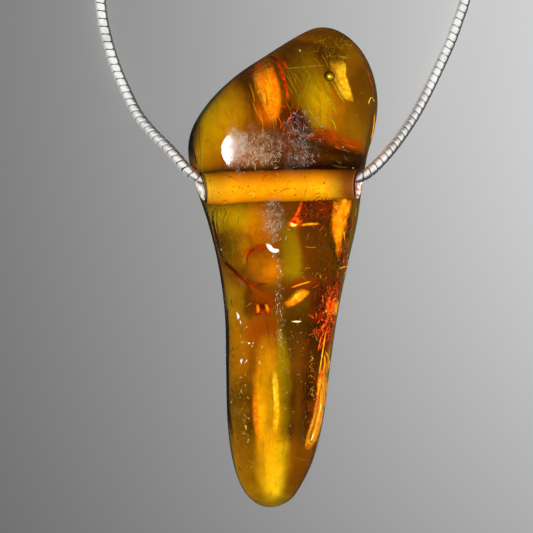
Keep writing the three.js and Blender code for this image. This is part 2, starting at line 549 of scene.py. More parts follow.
def joined(name: str, shapes: Sequence[Shape], finish: Material,
           place: Matrix = Matrix.Identity(4)) -> Piece:
    """One piece of several closed shapes, with their fade as an attribute.

    Args:
        name: the piece's name.
        shapes: its closed shapes.
        finish: its material.
        place: where its mesh goes.

    Returns:
        The object, at the origin.
    """
    points, faces, fades, shift = [], [], [], 0
    for some, some_faces, some_fade in shapes:
        points.append(some)
        fades.append(some_fade)
        faces += [tuple(i + shift for i in face) for face in some_faces]
        shift += len(some)
    whole = np.vstack(points), faces, np.concatenate(fades)
    return solid_piece(name, whole, finish, place, "fade")


def hermite(values: np.ndarray, slopes: np.ndarray, index: np.ndarray, part: np.ndarray,
            width: np.ndarray) -> np.ndarray:
    """Cubic values between samples.

    Args:
        values: rows of samples.
        slopes: each sample's slope for a unit of its parameter.
        index: the sample before each asked place.
        part: how far it is to the next one, from 0 to 1.
        width: the parameter's step there.

    Returns:
        A row for each asked place.
    """
    t, h = part[:, None], width[:, None]
    return ((2 * t**3 - 3 * t**2 + 1) * values[index] + (t**3 - 2 * t**2 + t) * h * slopes[index]
            + (3 * t**2 - 2 * t**3) * values[index + 1] + (t**3 - t**2) * h * slopes[index + 1])


def through(values: np.ndarray, knots: np.ndarray, asked: np.ndarray) -> np.ndarray:
    """A smooth curve through samples that stand at uneven knots.

    Args:
        values: rows of samples.
        knots: each sample's parameter.
        asked: the parameters of the places that are asked for.

    Returns:
        A row for each asked place.
    """
    gaps = np.diff(knots)
    chord = np.diff(values, axis=0) / gaps[:, None]
    slopes = np.vstack([chord[:1], (chord[:-1] + chord[1:]) / 2, chord[-1:]])
    index = np.clip(np.searchsorted(knots, asked, side="right") - 1, 0, len(knots) - 2)
    width = gaps[index]
    return hermite(values, slopes, index, (asked - knots[index]) / width, width)


def smooth_route(points: Sequence[Point], step: float) -> np.ndarray:
    """Even points along a smooth curve through chosen ones.

    Args:
        points: the chosen points.
        step: the distance between the points that come back.

    Returns:
        Rows of x, y and z, the first and last being the chosen ends.
    """
    chosen = np.array(points, float)
    apart = np.linalg.norm(np.diff(chosen, axis=0), axis=1)
    knots = np.concatenate([[0], np.cumsum(apart ** 0.5)])
    line = through(chosen, knots, np.linspace(0, knots[-1], 60 * len(chosen)))
    along = np.concatenate([[0], np.cumsum(np.linalg.norm(np.diff(line, axis=0), axis=1))])
    even = np.linspace(0, along[-1], max(3, round(along[-1] / step) + 1))
    return np.column_stack([np.interp(even, along, line[:, k]) for k in range(3)])


def length_of(line: np.ndarray) -> float:
    """The length of a line of points."""
    return float(np.linalg.norm(np.diff(line, axis=0), axis=1).sum())


STATIONS_MM = (  # y, left, right, back, front
    (-26.4, -1.4, -1.4, 3.3, 3.3),
    (-25.6, -3.4, 0.85, 1.6, 5.5),
    (-24.0, -4.6, 2.05, 0.7, 6.9),
    (-21.0, -5.55, 3.45, 0.0, 8.1),
    (-17.0, -6.06, 4.45, -0.3, 8.9),
    (-11.0, -6.22, 5.22, -0.3, 9.7),
    (-5.0, -6.36, 6.1, -0.3, 10.5),
    (0.5, -7.1, 7.2, -0.3, 11.2),
    (5.0, -8.2, 8.2, -0.3, 11.8),
    (9.0, -9.5, 8.75, -0.3, 12.2),
    (12.5, -10.35, 9.35, -0.3, 12.4),
    (15.0, -10.05, 10.05, -0.3, 12.3),
    (18.0, -8.3, 10.45, -0.2, 11.9),
    (21.0, -5.3, 10.05, 0.3, 11.0),
    (23.5, -1.6, 8.95, 1.2, 9.7),
    (25.4, 1.5, 7.2, 2.7, 7.9),
    (26.4, 4.35, 4.35, 5.2, 5.2),
)
HALF_SECTION = (  # across and up, as shares of the half width and the height
    (0.0, 0.0), (0.6, 0.01), (0.9, 0.12), (1.0, 0.34), (0.955, 0.56),
    (0.865, 0.76), (0.68, 0.9), (0.38, 0.975), (0.0, 1.0),
)


@dataclass
class Stone:
    """The amber drop: a section that changes from the tip to the broad end, and its bore."""

    length: float = 52.8 * MM
    rows: int = 300
    columns: int = 160
    bore_radius: float = 1.45 * MM
    bore_centre: Point = (-0.3 * MM, 9.1 * MM, 6.9 * MM)
    bore_tilt: float = math.radians(0.9)
    flare: float = 0.6
    flare_start: float = 8.0 * MM
    cutter_reach: float = 13.0 * MM
    cutter_sides: int = 64

    def stations(self, v: np.ndarray) -> np.ndarray:
        """The drop's extents between its tip and its broad end.

        Args:
            v: shares of the way, 0 at the tip and 1 at the broad end, even on a half circle.

        Returns:
            Rows of left, right, back and front.
        """
        table = np.array(STATIONS_MM) * MM
        knots = np.arccos(np.clip(-2 * table[:, 0] / self.length, -1, 1))
        return through(table[:, 1:], knots, math.pi * v)

    def along(self, v: np.ndarray) -> np.ndarray:
        """The places in y of such shares."""
        return -self.length / 2 * np.cos(math.pi * v)

    def section(self, u: np.ndarray) -> np.ndarray:
        """Across and up at the share u of the way round, from the middle of the back.

        Args:
            u: shares of the way round.

        Returns:
            Rows of across, from -1 to 1, and up, from 0 to 1.
        """
        half = np.array(HALF_SECTION)
        loop = np.vstack([half * (-1, 1), half[-2::-1]])
        slopes = np.vstack([loop[1] - loop[0], loop[2:] - loop[:-2], loop[-1] - loop[-2]]) / 2
        at = u * (len(loop) - 1)
        index = np.minimum(at.astype(int), len(loop) - 2)
        return hermite(loop, slopes, index, at - index, np.ones(len(at)))

    def surface(self, u: np.ndarray, v: np.ndarray) -> np.ndarray:
        """Points of the skin, u round the section and v from the tip to the broad end.

        Args:
            u: shares of the way round the section.
            v: shares of the way from tip to broad end.

        Returns:
            Rows of x, y and z.
        """
        left, right, back, front = self.stations(v).T
        across, up = self.section(u).T
        x = (left + right) / 2 + across * (right - left) / 2
        return np.column_stack([x, self.along(v), np.maximum(back + up * (front - back), 0)])

    def wall(self, reach: float | np.ndarray) -> float | np.ndarray:
        """The radius of a flared mouth, so far from the bore's middle."""
        return self.bore_radius + self.flare * (reach - self.flare_start)

    def bore_place(self) -> Matrix:
        """What takes the X axis to the bore's own."""
        return Matrix.Translation(self.bore_centre) @ Matrix.Rotation(self.bore_tilt, 4, "Z")

    def body(self, finish: Material) -> Piece:
        """The whole drop before it is drilled.

        Args:
            finish: its material.

        Returns:
            The closed drop, at the origin.
        """
        u = np.arange(self.columns) / self.columns
        v = np.arange(1, self.rows) / self.rows
        grid_u, grid_v = np.meshgrid(u, v)
        rings = self.surface(grid_u.ravel(), grid_v.ravel()).reshape(-1, self.columns, 3)
        ends = self.surface(np.zeros(2), np.array([0.0, 1.0]))
        return solid_piece("amber_body", tube_mesh(rings, ends=ends), finish)

    def cutter(self, finish: Material) -> Piece:
        """The drill's path, with its flared mouths.

        Args:
            finish: what its cut leaves on the wall.

        Returns:
            The closed path, in the bore's place.
        """
        end = self.wall(self.cutter_reach)
        profile = [(-self.cutter_reach, end), (-self.flare_start, self.bore_radius),
                   (self.flare_start, self.bore_radius), (self.cutter_reach, end)]
        shape = tube_mesh(lathe(profile, self.cutter_sides))
        return solid_piece("bore_cutter", shape, finish, self.bore_place())

    def build(self, skin: Material, drilled: Material) -> Piece:
        """The drilled drop, as one clean mesh.

        Args:
            skin: the polished skin's material.
            drilled: the bore wall's material.

        Returns:
            The drop, at the origin.
        """
        made = carved(self.body(skin), self.cutter(drilled), "DIFFERENCE", "amber_drop")
        made.data.polygons.foreach_set("use_smooth", [True] * len(made.data.polygons))
        return made


class Sight:
    """Where the camera's rays go once the stone's skin has bent them."""

    around = (0.19, 0.81, 300)  # shares of the way round that are in front, and samples
    lengthwise = (0.01, 0.99, 500)
    least_depth = 0.45 * MM
    least_facing = 0.06
    least_rise = 0.35  # the least upward part of a normal by which a shift is lifted
    nearby = 1.5  # pixels

    def __init__(self, stone: Stone, eye: Point, ior: float = 1.54) -> None:
        """Samples the upper skin and bends the eye's ray at each sample.

        Args:
            stone: the drop.
            eye: the camera's place.
            ior: the amber's index of refraction.
        """
        u, v = np.meshgrid(np.linspace(*self.around), np.linspace(*self.lengthwise))
        u, v = u.ravel(), v.ravel()
        small = 1e-4
        self.skin = stone.surface(u, v)
        along_u = stone.surface(u + small, v) - stone.surface(u - small, v)
        along_v = stone.surface(u, v + small) - stone.surface(u, v - small)
        normal = np.cross(along_u, along_v)
        normal /= np.linalg.norm(normal, axis=1)[:, None]
        left, right, back, front = stone.stations(v).T
        centre = np.column_stack([(left + right) / 2, self.skin[:, 1], (back + front) / 2])
        normal *= np.sign((normal * (self.skin - centre)).sum(axis=1))[:, None]
        seen = normal[:, 2] > self.least_facing
        self.skin, normal = self.skin[seen], normal[seen]
        ray = self.skin - np.array(eye)
        ray /= np.linalg.norm(ray, axis=1)[:, None]
        facing = -(ray * normal).sum(axis=1)
        inside = np.sqrt(1 - (1 - facing**2) / ior**2)
        self.way = ray / ior + (facing / ior - inside)[:, None] * normal
        self.normal = normal
        self.eye = eye
        self.pixels = self.project(self.skin, eye)
        self.tree: KDTree | None = None

    @staticmethod
    def project(points: np.ndarray, eye: Point) -> np.ndarray:
        """The photograph's pixels of points, as the camera above sees them with no stone.

        Args:
            points: rows of x, y and z.
            eye: the camera's place.

        Returns:
            Rows of column and row.
        """
        scale = PIXEL * (eye[2] - points[:, 2]) / (eye[2] - WIDEST_LEVEL)
        across = PHOTO_PIXELS / 2 + (points[:, 0] - eye[0]) / scale
        down = PHOTO_PIXELS / 2 - (points[:, 1] - eye[1]) / scale
        return np.column_stack([across, down])

    def under(self, across: float, down: float, level: float) -> np.ndarray:
        """The point at a level inside the stone that shows at a pixel of the photograph.

        Args:
            across: the pixel's column.
            down: its row.
            level: the point's height.

        Returns:
            Its x, y and z.
        """
        near = int(np.argmin(((self.pixels - (across, down)) ** 2).sum(axis=1)))
        start, way = self.skin[near], self.way[near]
        reach = max((level - start[2]) / way[2], self.least_depth)
        return start + way * reach

    def inside(self, pixels: np.ndarray, depth: np.ndarray | float) -> np.ndarray:
        """Points that show at pixels, at depths under the skin along the bent rays.

        Args:
            pixels: rows of column and row in the photograph.
            depth: how far along each ray, in metres.

        Returns:
            Rows of x, y and z.
        """
        near = self.tree_of_pixels().find
        rows = np.array([near((a, d, 0.0))[1] for a, d in pixels])
        start, normal = self.skin[rows], self.normal[rows]
        scale = PIXEL * (self.eye[2] - start[:, 2:]) / (self.eye[2] - WIDEST_LEVEL)
        shift = (np.asarray(pixels) - self.pixels[rows]) * scale * (1, -1)
        shift[np.linalg.norm(shift, axis=1) > self.nearby * PIXEL] = 0
        lift = -(normal[:, :2] * shift).sum(axis=1) / np.maximum(normal[:, 2], self.least_rise)
        return start + np.column_stack([shift, lift]) + self.way[rows] * np.reshape(depth, (-1, 1))

    def margin(self, across: float, down: float) -> float:
        """How far outside the stone's outline a pixel is, near 0 inside it."""
        return self.tree_of_pixels().find((across, down, 0.0))[2]

    def tree_of_pixels(self) -> KDTree:
        """A search tree over the skin's samples, made once."""
        if self.tree is None:
            self.tree = KDTree(len(self.pixels))
            for i, (across, down) in enumerate(self.pixels):
                self.tree.insert((across, down, 0.0), i)
            self.tree.balance()
        return self.tree


@dataclass(frozen=True)
class Stain:
    """A soft-edged oval of colour in the cloudy bed, placed by the photograph's pixels."""

    across: float
    down: float
    half_length: float
    half_width: float
    turn: float  # degrees, from along the frame's rows towards its columns
    colour: Colour
    strength: float = 1.0
    softness: float = 0.5
    rise: float = 0.0

    def plane(self, sight: Sight, level: float) -> np.ndarray:
        """The 2 by 3 matrix that takes a place in metres to the oval's own unit disc.

        Args:
            sight: where the camera's rays go.
            level: the height at which the oval lies.

        Returns:
            The matrix, for a column of x, y and 1.
        """
        angle = math.radians(self.turn)
        way = np.array([math.cos(angle), math.sin(angle)])
        side = np.array([-way[1], way[0]])
        ends = [sight.under(*(np.array([self.across, self.down]) + reach), level)[:2]
                for reach in (way * self.half_length, -way * self.half_length,
                              side * self.half_width, -side * self.half_width)]
        centre = sum(ends) / 4
        axes = np.column_stack([(ends[0] - ends[1]) / 2, (ends[2] - ends[3]) / 2])
        turned_back = np.linalg.inv(axes)
        return np.column_stack([turned_back, -turned_back @ centre])


OLIVE: Colour = (0.34, 0.38, 0.08, 1.0)
LIGHT_OLIVE: Colour = (0.56, 0.80, 0.12, 1.0)
GREEN: Colour = (0.32, 0.50, 0.05, 1.0)
OCHRE: Colour = (0.42, 0.30, 0.06, 1.0)
HONEY: Colour = (0.66, 0.46, 0.08, 1.0)
GOLDEN: Colour = (0.95, 0.90, 0.18, 1.0)
ORANGE: Colour = (1.00, 0.48, 0.05, 1.0)
RUST: Colour = (0.32, 0.085, 0.012, 1.0)
UMBER: Colour = (0.105, 0.036, 0.006, 1.0)
BROWN: Colour = (0.075, 0.042, 0.008, 1.0)
PLUM: Colour = (0.055, 0.010, 0.018, 1.0)
BLACK: Colour = (0.012, 0.008, 0.004, 1.0)
RED: Colour = (0.22, 0.012, 0.004, 1.0)

STAINS = (
    # the broad end, above the bore
    Stain(212, 120, 36, 20, -62, LIGHT_OLIVE, 0.95, 0.5, 1.0 * MM),
    Stain(210, 144, 24, 12, -80, LIGHT_OLIVE, 0.5, 0.9),
    # painted shade along the upper left rim
    Stain(236, 78, 36, 6, -43, BROWN, 0.65),
    Stain(264, 95, 30, 12, 74, ORANGE, 1.0, 0.4, 1.0 * MM),
    Stain(316, 46, 38, 15, -10, BROWN, 0.9, 0.4),
    Stain(310, 94, 38, 21, 80, OLIVE, 1.0, 0.3, 1.2 * MM),
    Stain(316, 104, 22, 12, 78, LIGHT_OLIVE, 0.75, 0.8),
    Stain(336, 108, 34, 7, 104, OCHRE, 0.5, 0.8),
    Stain(362, 104, 62, 12, 84, BROWN, 0.72, 0.5),
    Stain(334, 139, 22, 6, 15, RUST, 0.9, 0.4),
    Stain(352, 150, 9, 13, 90, RUST, 0.8),
    Stain(324, 158, 40, 11, 2, BLACK, 1.0, 0.35, -0.8 * MM),
    Stain(296, 140, 38, 17, 72, PLUM, 1.0, 0.3, -0.6 * MM),
    Stain(276, 150, 24, 10, 80, PLUM, 0.75, 0.5),
    Stain(318, 150, 14, 12, 40, PLUM, 0.8, 0.5),
    Stain(238, 160, 26, 9, 0, OCHRE, 0.8),
    # painted shade on the dark left flank
    Stain(193, 144, 26, 5, -86, BLACK, 0.9, 0.4),
    # under the bore, on the left
    Stain(229, 214, 26, 15, 10, LIGHT_OLIVE, 1.0, 0.5, 0.9 * MM),
    Stain(236, 245, 18, 15, 60, OLIVE, 0.75, 0.4, 0.9 * MM),
    Stain(262, 226, 24, 10, 78, HONEY, 0.6, 0.7),
    Stain(254, 250, 16, 4, -20, RUST, 0.9, 0.5),
    Stain(265, 270, 14, 13, 0, HONEY, 1.0, 0.5, 1.0 * MM),
    Stain(236, 272, 30, 4.5, 48, RUST, 1.0, 0.5, -0.4 * MM),
    Stain(234, 316, 46, 9, 88, OLIVE, 0.9, 0.35, 0.6 * MM),
    Stain(250, 303, 15, 5, 82, BROWN, 0.95, 0.5),
    Stain(265, 302, 12, 10, 0, RUST, 0.9, 0.5),
    Stain(265, 331, 15, 13, 0, RUST, 0.95, 0.5),
    Stain(243, 352, 26, 14, 88, RUST, 0.45, 0.7),
    # under the bore, on the right
    Stain(322, 255, 62, 19, 84, UMBER, 1.0, 0.4),
    Stain(324, 258, 42, 13, 86, BLACK, 0.7, 0.5),
    Stain(317, 211, 19, 12, 0, RED, 1.0, 0.3),
    Stain(291, 255, 30, 9, 86, GREEN, 0.95, 0.5, 0.5 * MM),
    Stain(314, 246, 26, 11, 88, UMBER, 0.8, 0.6),
    Stain(300, 284, 15, 6, -10, RUST, 0.9),
    Stain(328, 316, 38, 14, 94, RED, 1.0, 0.35, 0.6 * MM),
    Stain(339, 258, 42, 6, 97, BLACK, 0.8),
    Stain(298, 340, 30, 16, 84, BLACK, 1.0, 0.35),
    # the tip
    Stain(240, 425, 76, 11, 88, OCHRE, 0.95, 0.5),
    Stain(236, 402, 60, 5, 88, BROWN, 0.5, 0.7),
    Stain(268, 366, 24, 9, 88, OCHRE, 1.0, 0.5),
    Stain(280, 362, 26, 4, 90, GREEN, 0.9, 0.6),
    Stain(301, 412, 68, 14, 93, UMBER, 1.0, 0.35, -0.5 * MM),
    Stain(257, 410, 38, 5, 90, ORANGE, 1.0, 0.5, 0.8 * MM),
    Stain(268, 430, 64, 13, 89, GOLDEN, 0.95, 0.6, 0.6 * MM),
    Stain(266, 466, 34, 13, 90, HONEY, 0.5, 0.8, 0.3 * MM),
    Stain(268, 484, 20, 12, 90, GOLDEN, 0.35, 0.6),
    Stain(283, 384, 34, 5, 90, GREEN, 0.6, 0.9),
    Stain(282, 470, 30, 6, 90, GREEN, 0.45, 0.9),
    Stain(318, 408, 52, 6, 99, ORANGE, 1.0, 0.4, 0.8 * MM),
    Stain(250, 484, 22, 8, 65, OCHRE, 0.9, 0.6),
    Stain(297, 468, 32, 11, 110, UMBER, 1.0, 0.4, -0.5 * MM),
    Stain(270, 501, 22, 7, 0, BROWN, 0.75, 0.7),
)


@dataclass(frozen=True)
class BedFinish(Finish):
    """Cloudy resin in the stone's depths: soft stains of several colours, dark at its rim with painted
    shade.
    """

    name: str = "cloudy_bed"
    planes: tuple[tuple[Stain, np.ndarray], ...] = ()
    ground: Colour = (0.22, 0.18, 0.045, 1.0)
    # the dark colour of the veins and fibres, and of the painted shade at the bed's sides and ends
    rim: Colour = (0.03, 0.015, 0.005, 1.0)
    grain: Colour = (0.60, 0.46, 0.12, 1.0)
    wobble: float = 0.7 * MM

    def surface(self, graph: Graph) -> Wire:
        """The bed's nodes."""
        noise = graph.out("ShaderNodeTexNoise", "Color", None,
                          {"Vector": graph.place(), "Scale": 330.0, "Detail": 4.0})
        push = graph.vector("MULTIPLY", graph.vector("SUBTRACT", noise, (0.5, 0.5, 0.5)),
                            (2 * self.wobble, 2 * self.wobble, 0.0))
        where = graph.vector("ADD", graph.place(), push)
        fine = graph.noise(1500.0, 5.0)
        fibres = graph.out("ShaderNodeMapping", 0, None, {
            "Vector": where, "Rotation": (0.0, 0.0, -0.05), "Scale": (1.0, 0.12, 1.0)})
        fibre = graph.noise(2600.0, 4.0, fibres)
        colour: Wire | Colour = self.ground
        for stain, plane in self.planes:
            first, second = (graph.vector("DOT_PRODUCT", where, (*row[:2], 0.0), output=1) + row[2]
                             for row in plane)
            reach = first * first + second * second + (fine - 0.5) * 0.5
            inner = max(0.05, 1.0 - stain.softness)
            mask = 1.0 - graph.step(reach, inner**2, (1.0 + stain.softness) ** 2)
            colour = graph.mix(mask * stain.strength, colour, stain.colour)
        veins = graph.cracks(330.0, graph.vector("ADD", where, graph.scaled(push, 1.5)))
        veins = veins * graph.step(graph.noise(260.0), 0.5, 0.65)
        colour = graph.mix(veins * 0.30, colour, self.rim)
        colour = graph.mix(graph.step(fibre, 0.5, 0.75) * 0.35, colour, self.rim)
        colour = graph.mix(graph.step(fine, 0.62, 0.8) * 0.4, colour, self.grain)
        # painted shade: the bed darkens towards its sides and ends, where the stone's rims look dark
        edge = graph.step(graph.attribute("edge"), 0.72, 0.96)
        colour = graph.mix(edge * 0.92, colour, self.rim)
        return graph.principled(graph.mix(fine * 0.4, colour, (0.0, 0.0, 0.0, 1.0)), 0.5)


@dataclass
class CloudyBed:
    """The cloudy resin under the clear front, inside the drop from end to end."""

    stone: Stone
    sight: Sight
    span: tuple[float, float] = (0.032, 0.968)  # shares of the way from tip to broad end
    stain_level: float = 5.0 * MM
    inset: float = 0.55 * MM
    least: float = 0.2 * MM  # the least half width, and the least height over the widest level
    widest_share: float = 0.34
    rows: int = 150
    columns: int = 96
    top_share: float = 0.42
    under_bore: float = 4.9 * MM
    bore_reach: float = 2.6 * MM
    past_bore: float = 4.0 * MM  # how much higher it may be away from the bore
    cover: float = 1.6 * MM
    floor_gap: float = 0.7 * MM
    squareness: float = 2.8
    crowding: float = 0.012  # by how much of the way its rows shift
    planes: tuple[tuple[Stain, np.ndarray], ...] = ()  # each stain and its plane, set by build

    def relief(self, x: np.ndarray, y: np.ndarray, front: np.ndarray) -> np.ndarray:
        """The bed's upper height, with its lobes and hollows.

        Args:
            x: places across.
            y: places along.
            front: the skin's greatest height at those places along.

        Returns:
            The heights.
        """
        height = self.top_share * front
        for stain, plane in self.planes:
            first, second = (row[0] * x + row[1] * y + row[2] for row in plane)
            height = height + stain.rise * np.exp(-(first**2 + second**2))
        # 0 over the bore and 1 well away from it
        away = np.clip((np.abs(y - self.stone.bore_centre[1]) / self.bore_reach - 0.6) / 0.8, 0, 1)
        limit = self.under_bore + away * self.past_bore
        return np.minimum(height, np.minimum(limit, front - self.cover))

    def build(self) -> Piece:
        """Makes the bed's closed mesh and dresses it."""
        self.planes = tuple((stain, stain.plane(self.sight, self.stain_level)) for stain in STAINS)
        v = np.linspace(*self.span, self.rows)
        v = v + self.crowding * np.sin(2 * math.pi * v)
        left, right, back, front = self.stone.stations(v).T[:, :, None]
        y = self.stone.along(v)[:, None] + np.zeros(self.columns)
        widest = np.maximum(back, 0) + self.widest_share * (front - back)
        bottom = np.maximum(back, 0) + self.floor_gap
        # a rounded square section
        angle = round_angles(self.columns)
        across, up = (np.sign(side) * np.abs(side) ** (2 / self.squareness)
                      for side in (np.cos(angle), np.sin(angle)))
        x = (left + right) / 2 + np.maximum((right - left) / 2 - self.inset, self.least) * across
        top = np.maximum(self.relief(x, y, front), widest + self.least)
        z = np.where(up >= 0, widest + (top - widest) * up, widest + (widest - bottom) * up)
        # how near each point is to the bed's sides and ends, where its finish paints shade
        edge = np.maximum(np.abs(across), np.abs(2 * v - 1)[:, None] ** 3)
        points, faces, edge = tube_mesh(np.stack([x, y, z], axis=2), edge.ravel())
        edge[-2:] = 1.0
        finish = BedFinish(planes=self.planes).build()
        return solid_piece("cloudy_bed", (points, faces, edge), finish, attribute="edge")


@dataclass(frozen=True)
class FrostFinish(Finish):
    """The drill's rough wall: bright crazed resin with tiny black specks and curled cracks, and painted
    shade towards its ends.
    """

    name: str = "drilled_frost"
    colour: Colour = (0.90, 0.66, 0.12, 1.0)
    duller: Colour = (0.80, 0.36, 0.04, 1.0)
    crack: Colour = (0.35, 0.08, 0.02, 1.0)
    mouth: float = 7.7 * MM
    dark_end: Colour = (0.18, 0.05, 0.008, 1.0)
    olive_end: Colour = (0.55, 0.42, 0.08, 1.0)
    speck: Colour = (0.05, 0.03, 0.02, 1.0)

    def surface(self, graph: Graph) -> Wire:
        """The rough wall's nodes."""
        patches = graph.noise(300.0, 3.0)
        lengthwise = graph.coordinate("Y") + (patches - 0.5) * 2.0 * MM
        upper = graph.step(lengthwise, 8.6 * MM, 10.4 * MM)
        colour = graph.mix(upper * 0.8, self.colour, self.duller)
        grain = graph.step(graph.noise(1400.0, 5.0), 0.42, 0.7)
        colour = graph.mix(grain * 0.5, colour, self.duller)
        sides = graph.coordinate("X")
        # painted shade: darker towards the wall's right end and duller olive towards its left end
        colour = graph.mix(graph.step(sides, 3.8 * MM, 6.4 * MM), colour, self.dark_end)
        olive = graph.step(-1.0 * sides, 4.5 * MM, 8.0 * MM)
        colour = graph.mix(olive * 0.75, colour, self.olive_end)
        end = graph.step((sides + 0.3 * MM).math("ABSOLUTE"), self.mouth, self.mouth + 0.4 * MM)
        colour = graph.mix(end, colour, self.crack)
        chosen = graph.step(graph.noise(240.0, 1.0), 0.55, 0.65)
        colour = graph.mix(graph.cracks(420.0) * chosen, colour, self.crack)
        specks = graph.step(graph.noise(3500.0, 1.0), 0.66, 0.74)
        return graph.principled(graph.mix(specks * 0.8, colour, self.speck), 0.6)


@dataclass(frozen=True)
class ChipFinish(Finish):
    """Chipped resin, white where it is broken and brown between."""

    name: str = "chipped_mouth"
    light: Colour = (0.80, 0.78, 0.74, 1.0)
    dark: Colour = (0.46, 0.36, 0.24, 1.0)

    def surface(self, graph: Graph) -> Wire:
        """The chips' nodes."""
        broken = graph.step(graph.noise(1700.0, 5.0), 0.40, 0.58)
        return graph.principled(graph.mix(broken, self.dark, self.light), 0.55)


@dataclass
class BoreFrost:
    """The crazed skin round the bore, a thin sleeve that the drill left in the amber."""

    stone: Stone
    inner: float = 1.46 * MM
    outer: float = 1.70 * MM
    left: float = -7.7 * MM
    right: float = 7.7 * MM
    rings: int = 60
    sides: int = 48

    def build(self) -> Piece:
        """Makes the sleeve."""
        along = np.linspace(self.left, self.right, self.rings)
        wave = 0.03 * MM * np.sin(along * 900) + 0.02 * MM * np.sin(along * 2300 + 1)
        profile = [(x, self.outer + w) for x, w in zip(along, wave)]
        profile = [(self.left, self.inner)] + profile + [(self.right, self.inner)]
        shape = loop_mesh(lathe(profile, self.sides))
        return solid_piece("bore_frost", shape, FrostFinish().build(), self.stone.bore_place())


@dataclass
class MouthFrost:
    """The chipped lower wall of the bore's flared mouths, thin skins on the amber."""

    stone: Stone
    proud: float = 0.03 * MM
    thickness: float = 0.10 * MM
    start: float = 8.15 * MM
    arc: tuple[float, float] = (165.0, 292.0)  # degrees round the bore
    steps: int = 48

    def build(self, finishes: Sequence[Material]) -> list[Piece]:
        """Makes the left and the right liner, trimmed by the drop's outside.

        Args:
            finishes: the left one's material and the right one's.

        Returns:
            The two pieces.
        """
        stone = self.stone
        made = []
        turns = np.radians(np.linspace(*self.arc, self.steps))
        for name, side, finish in zip(("left", "right"), (-1.0, 1.0), finishes):
            reaches = np.array([self.start, stone.cutter_reach])
            wall = stone.wall(reaches) - self.proud
            x = side * reaches[[0, 1, 1, 0]]
            radius = np.concatenate([wall, wall[::-1] - self.thickness])
            rings = [np.column_stack([x, radius * math.cos(turn), radius * math.sin(turn)])
                     for turn in turns]
            liner = solid_piece("liner", tube_mesh(np.array(rings)), finish, stone.bore_place())
            made.append(carved(liner, stone.body(finish), "INTERSECT", "mouth_frost_" + name))
        return made


@dataclass(frozen=True)
class GlintFinish(Finish):
    """A crack or flow line inside the amber, which shines with the light it throws back."""

    name: str = "glint"
    colour: Colour = ORANGE
    other: Colour = RED
    raggedness: float = 0.6
    solid: float = 0.05
    grain: float = 1800.0
    roughness: float = 0.35

    def surface(self, graph: Graph) -> Wire:
        """The glint's nodes."""
        broad = graph.step(graph.noise(self.grain, 4.0), 0.42, 0.62)
        colour = graph.mix(broad, self.colour, self.other)
        ragged = (graph.noise(1.6 * self.grain, 4.0) - 0.5) * self.raggedness
        thinned = graph.step(graph.attribute("fade") + ragged, self.solid, 0.95)
        bump = graph.bump(0.5, 0.05 * MM, graph.noise(2.0 * self.grain))
        shine = graph.principled(colour, self.roughness, Normal=bump, Specular_IOR_Level=0.1)
        return graph.blend(thinned, shine, graph.out("ShaderNodeBsdfTransparent", 0))


@dataclass(frozen=True)
class BubbleFinish(Finish):
    """A gas bubble's wall: a painted highlight in its middle and a dark rim of painted shade."""

    name: str = "bubble_wall"
    middle: Colour = (0.26, 0.20, 0.03, 1.0)
    rim: Colour = (0.07, 0.03, 0.006, 1.0)
    gleam: Colour = (1.0, 0.95, 0.45, 1.0)

    def surface(self, graph: Graph) -> Wire:
        """The bubble's nodes."""
        edge = graph.attribute("fade")
        # painted highlight in the middle and painted shade at the rim
        tint = graph.mix(graph.step(edge, 0.20, 0.34), self.gleam, self.middle)
        return graph.principled(graph.mix(graph.step(edge, 0.50, 0.80), tint, self.rim), 0.3)


class Hue(Enum):
    """The glints' finishes, each with its two colours."""

    FIRE = ((1.0, 0.12, 0.01, 1.0), (0.45, 0.03, 0.006, 1.0))
    ORANGE = ((1.0, 0.46, 0.04, 1.0), (0.92, 0.28, 0.02, 1.0))
    GOLD = ((1.0, 0.80, 0.18, 1.0), (0.85, 0.48, 0.05, 1.0))
    YELLOW = ((1.0, 0.95, 0.35, 1.0), (0.95, 0.80, 0.20, 1.0))
    DARK = ((0.022, 0.010, 0.002, 1.0), (0.045, 0.020, 0.004, 1.0))
    # painted shade for the stone's dark left rim
    BARK = ((0.13, 0.060, 0.008, 1.0), (0.075, 0.034, 0.006, 1.0))
    EMBER = ((0.42, 0.06, 0.012, 1.0), (0.18, 0.02, 0.006, 1.0))
    SILK = ((0.50, 0.46, 0.09, 1.0), (0.30, 0.25, 0.05, 1.0))
    WHITE = ((1.0, 0.98, 0.94, 1.0), (0.92, 0.88, 0.80, 1.0))
    # scratch marks painted pale, partly a painted sheen of reflected light
    SCUFF = ((0.60, 0.48, 0.34, 1.0), (0.36, 0.27, 0.18, 1.0))
    GREY_SCUFF = ((0.38, 0.31, 0.32, 1.0), (0.20, 0.15, 0.17, 1.0))


@dataclass(frozen=True)
class Streak:
    """A thread or ribbon of light along the photograph's pixels, at a depth under the skin."""

    hue: Hue
    points: tuple[tuple[float, float], ...]
    width: float  # pixels, at its widest
    depth: float  # millimetres
    fall: float = 0.0  # how many millimetres deeper its far end is
    thickness: float = 0.10 * MM


@dataclass(frozen=True)
class Brush:
    """Many thin streaks strewn along a route of the photograph's pixels."""

    hue: Hue
    route: tuple[tuple[float, float], ...]
    spread: float  # pixels to each side, as a normal spread
    count: int
    widths: tuple[float, float]  # pixels
    lengths: tuple[float, float]  # pixels
    depths: tuple[float, float]  # millimetres
    seed: int
    stray: float = 0.1  # radians


@dataclass(frozen=True)
class Flake:
    """A flat crack with an outline given by the photograph's pixels, at a depth under the skin."""

    hue: Hue
    outline: tuple[tuple[float, float], ...]
    depth: float  # millimetres
    lean: float = 0.0  # how many millimetres deeper its right side is than its left
    thickness: float = 0.25 * MM


@dataclass(frozen=True)
class Spangles:
    """A crowd of small curved cracks in an oval of the photograph's pixels."""

    hue: Hue
    centre: tuple[float, float]
    reach: tuple[float, float]
    turn: float
    count: int
    size: tuple[float, float]  # millimetres, least and most radius
    depths: tuple[float, float]  # millimetres under the skin
    seed: int
    scatter: float = 0.7  # radians by which their lie strays from the crowd's own


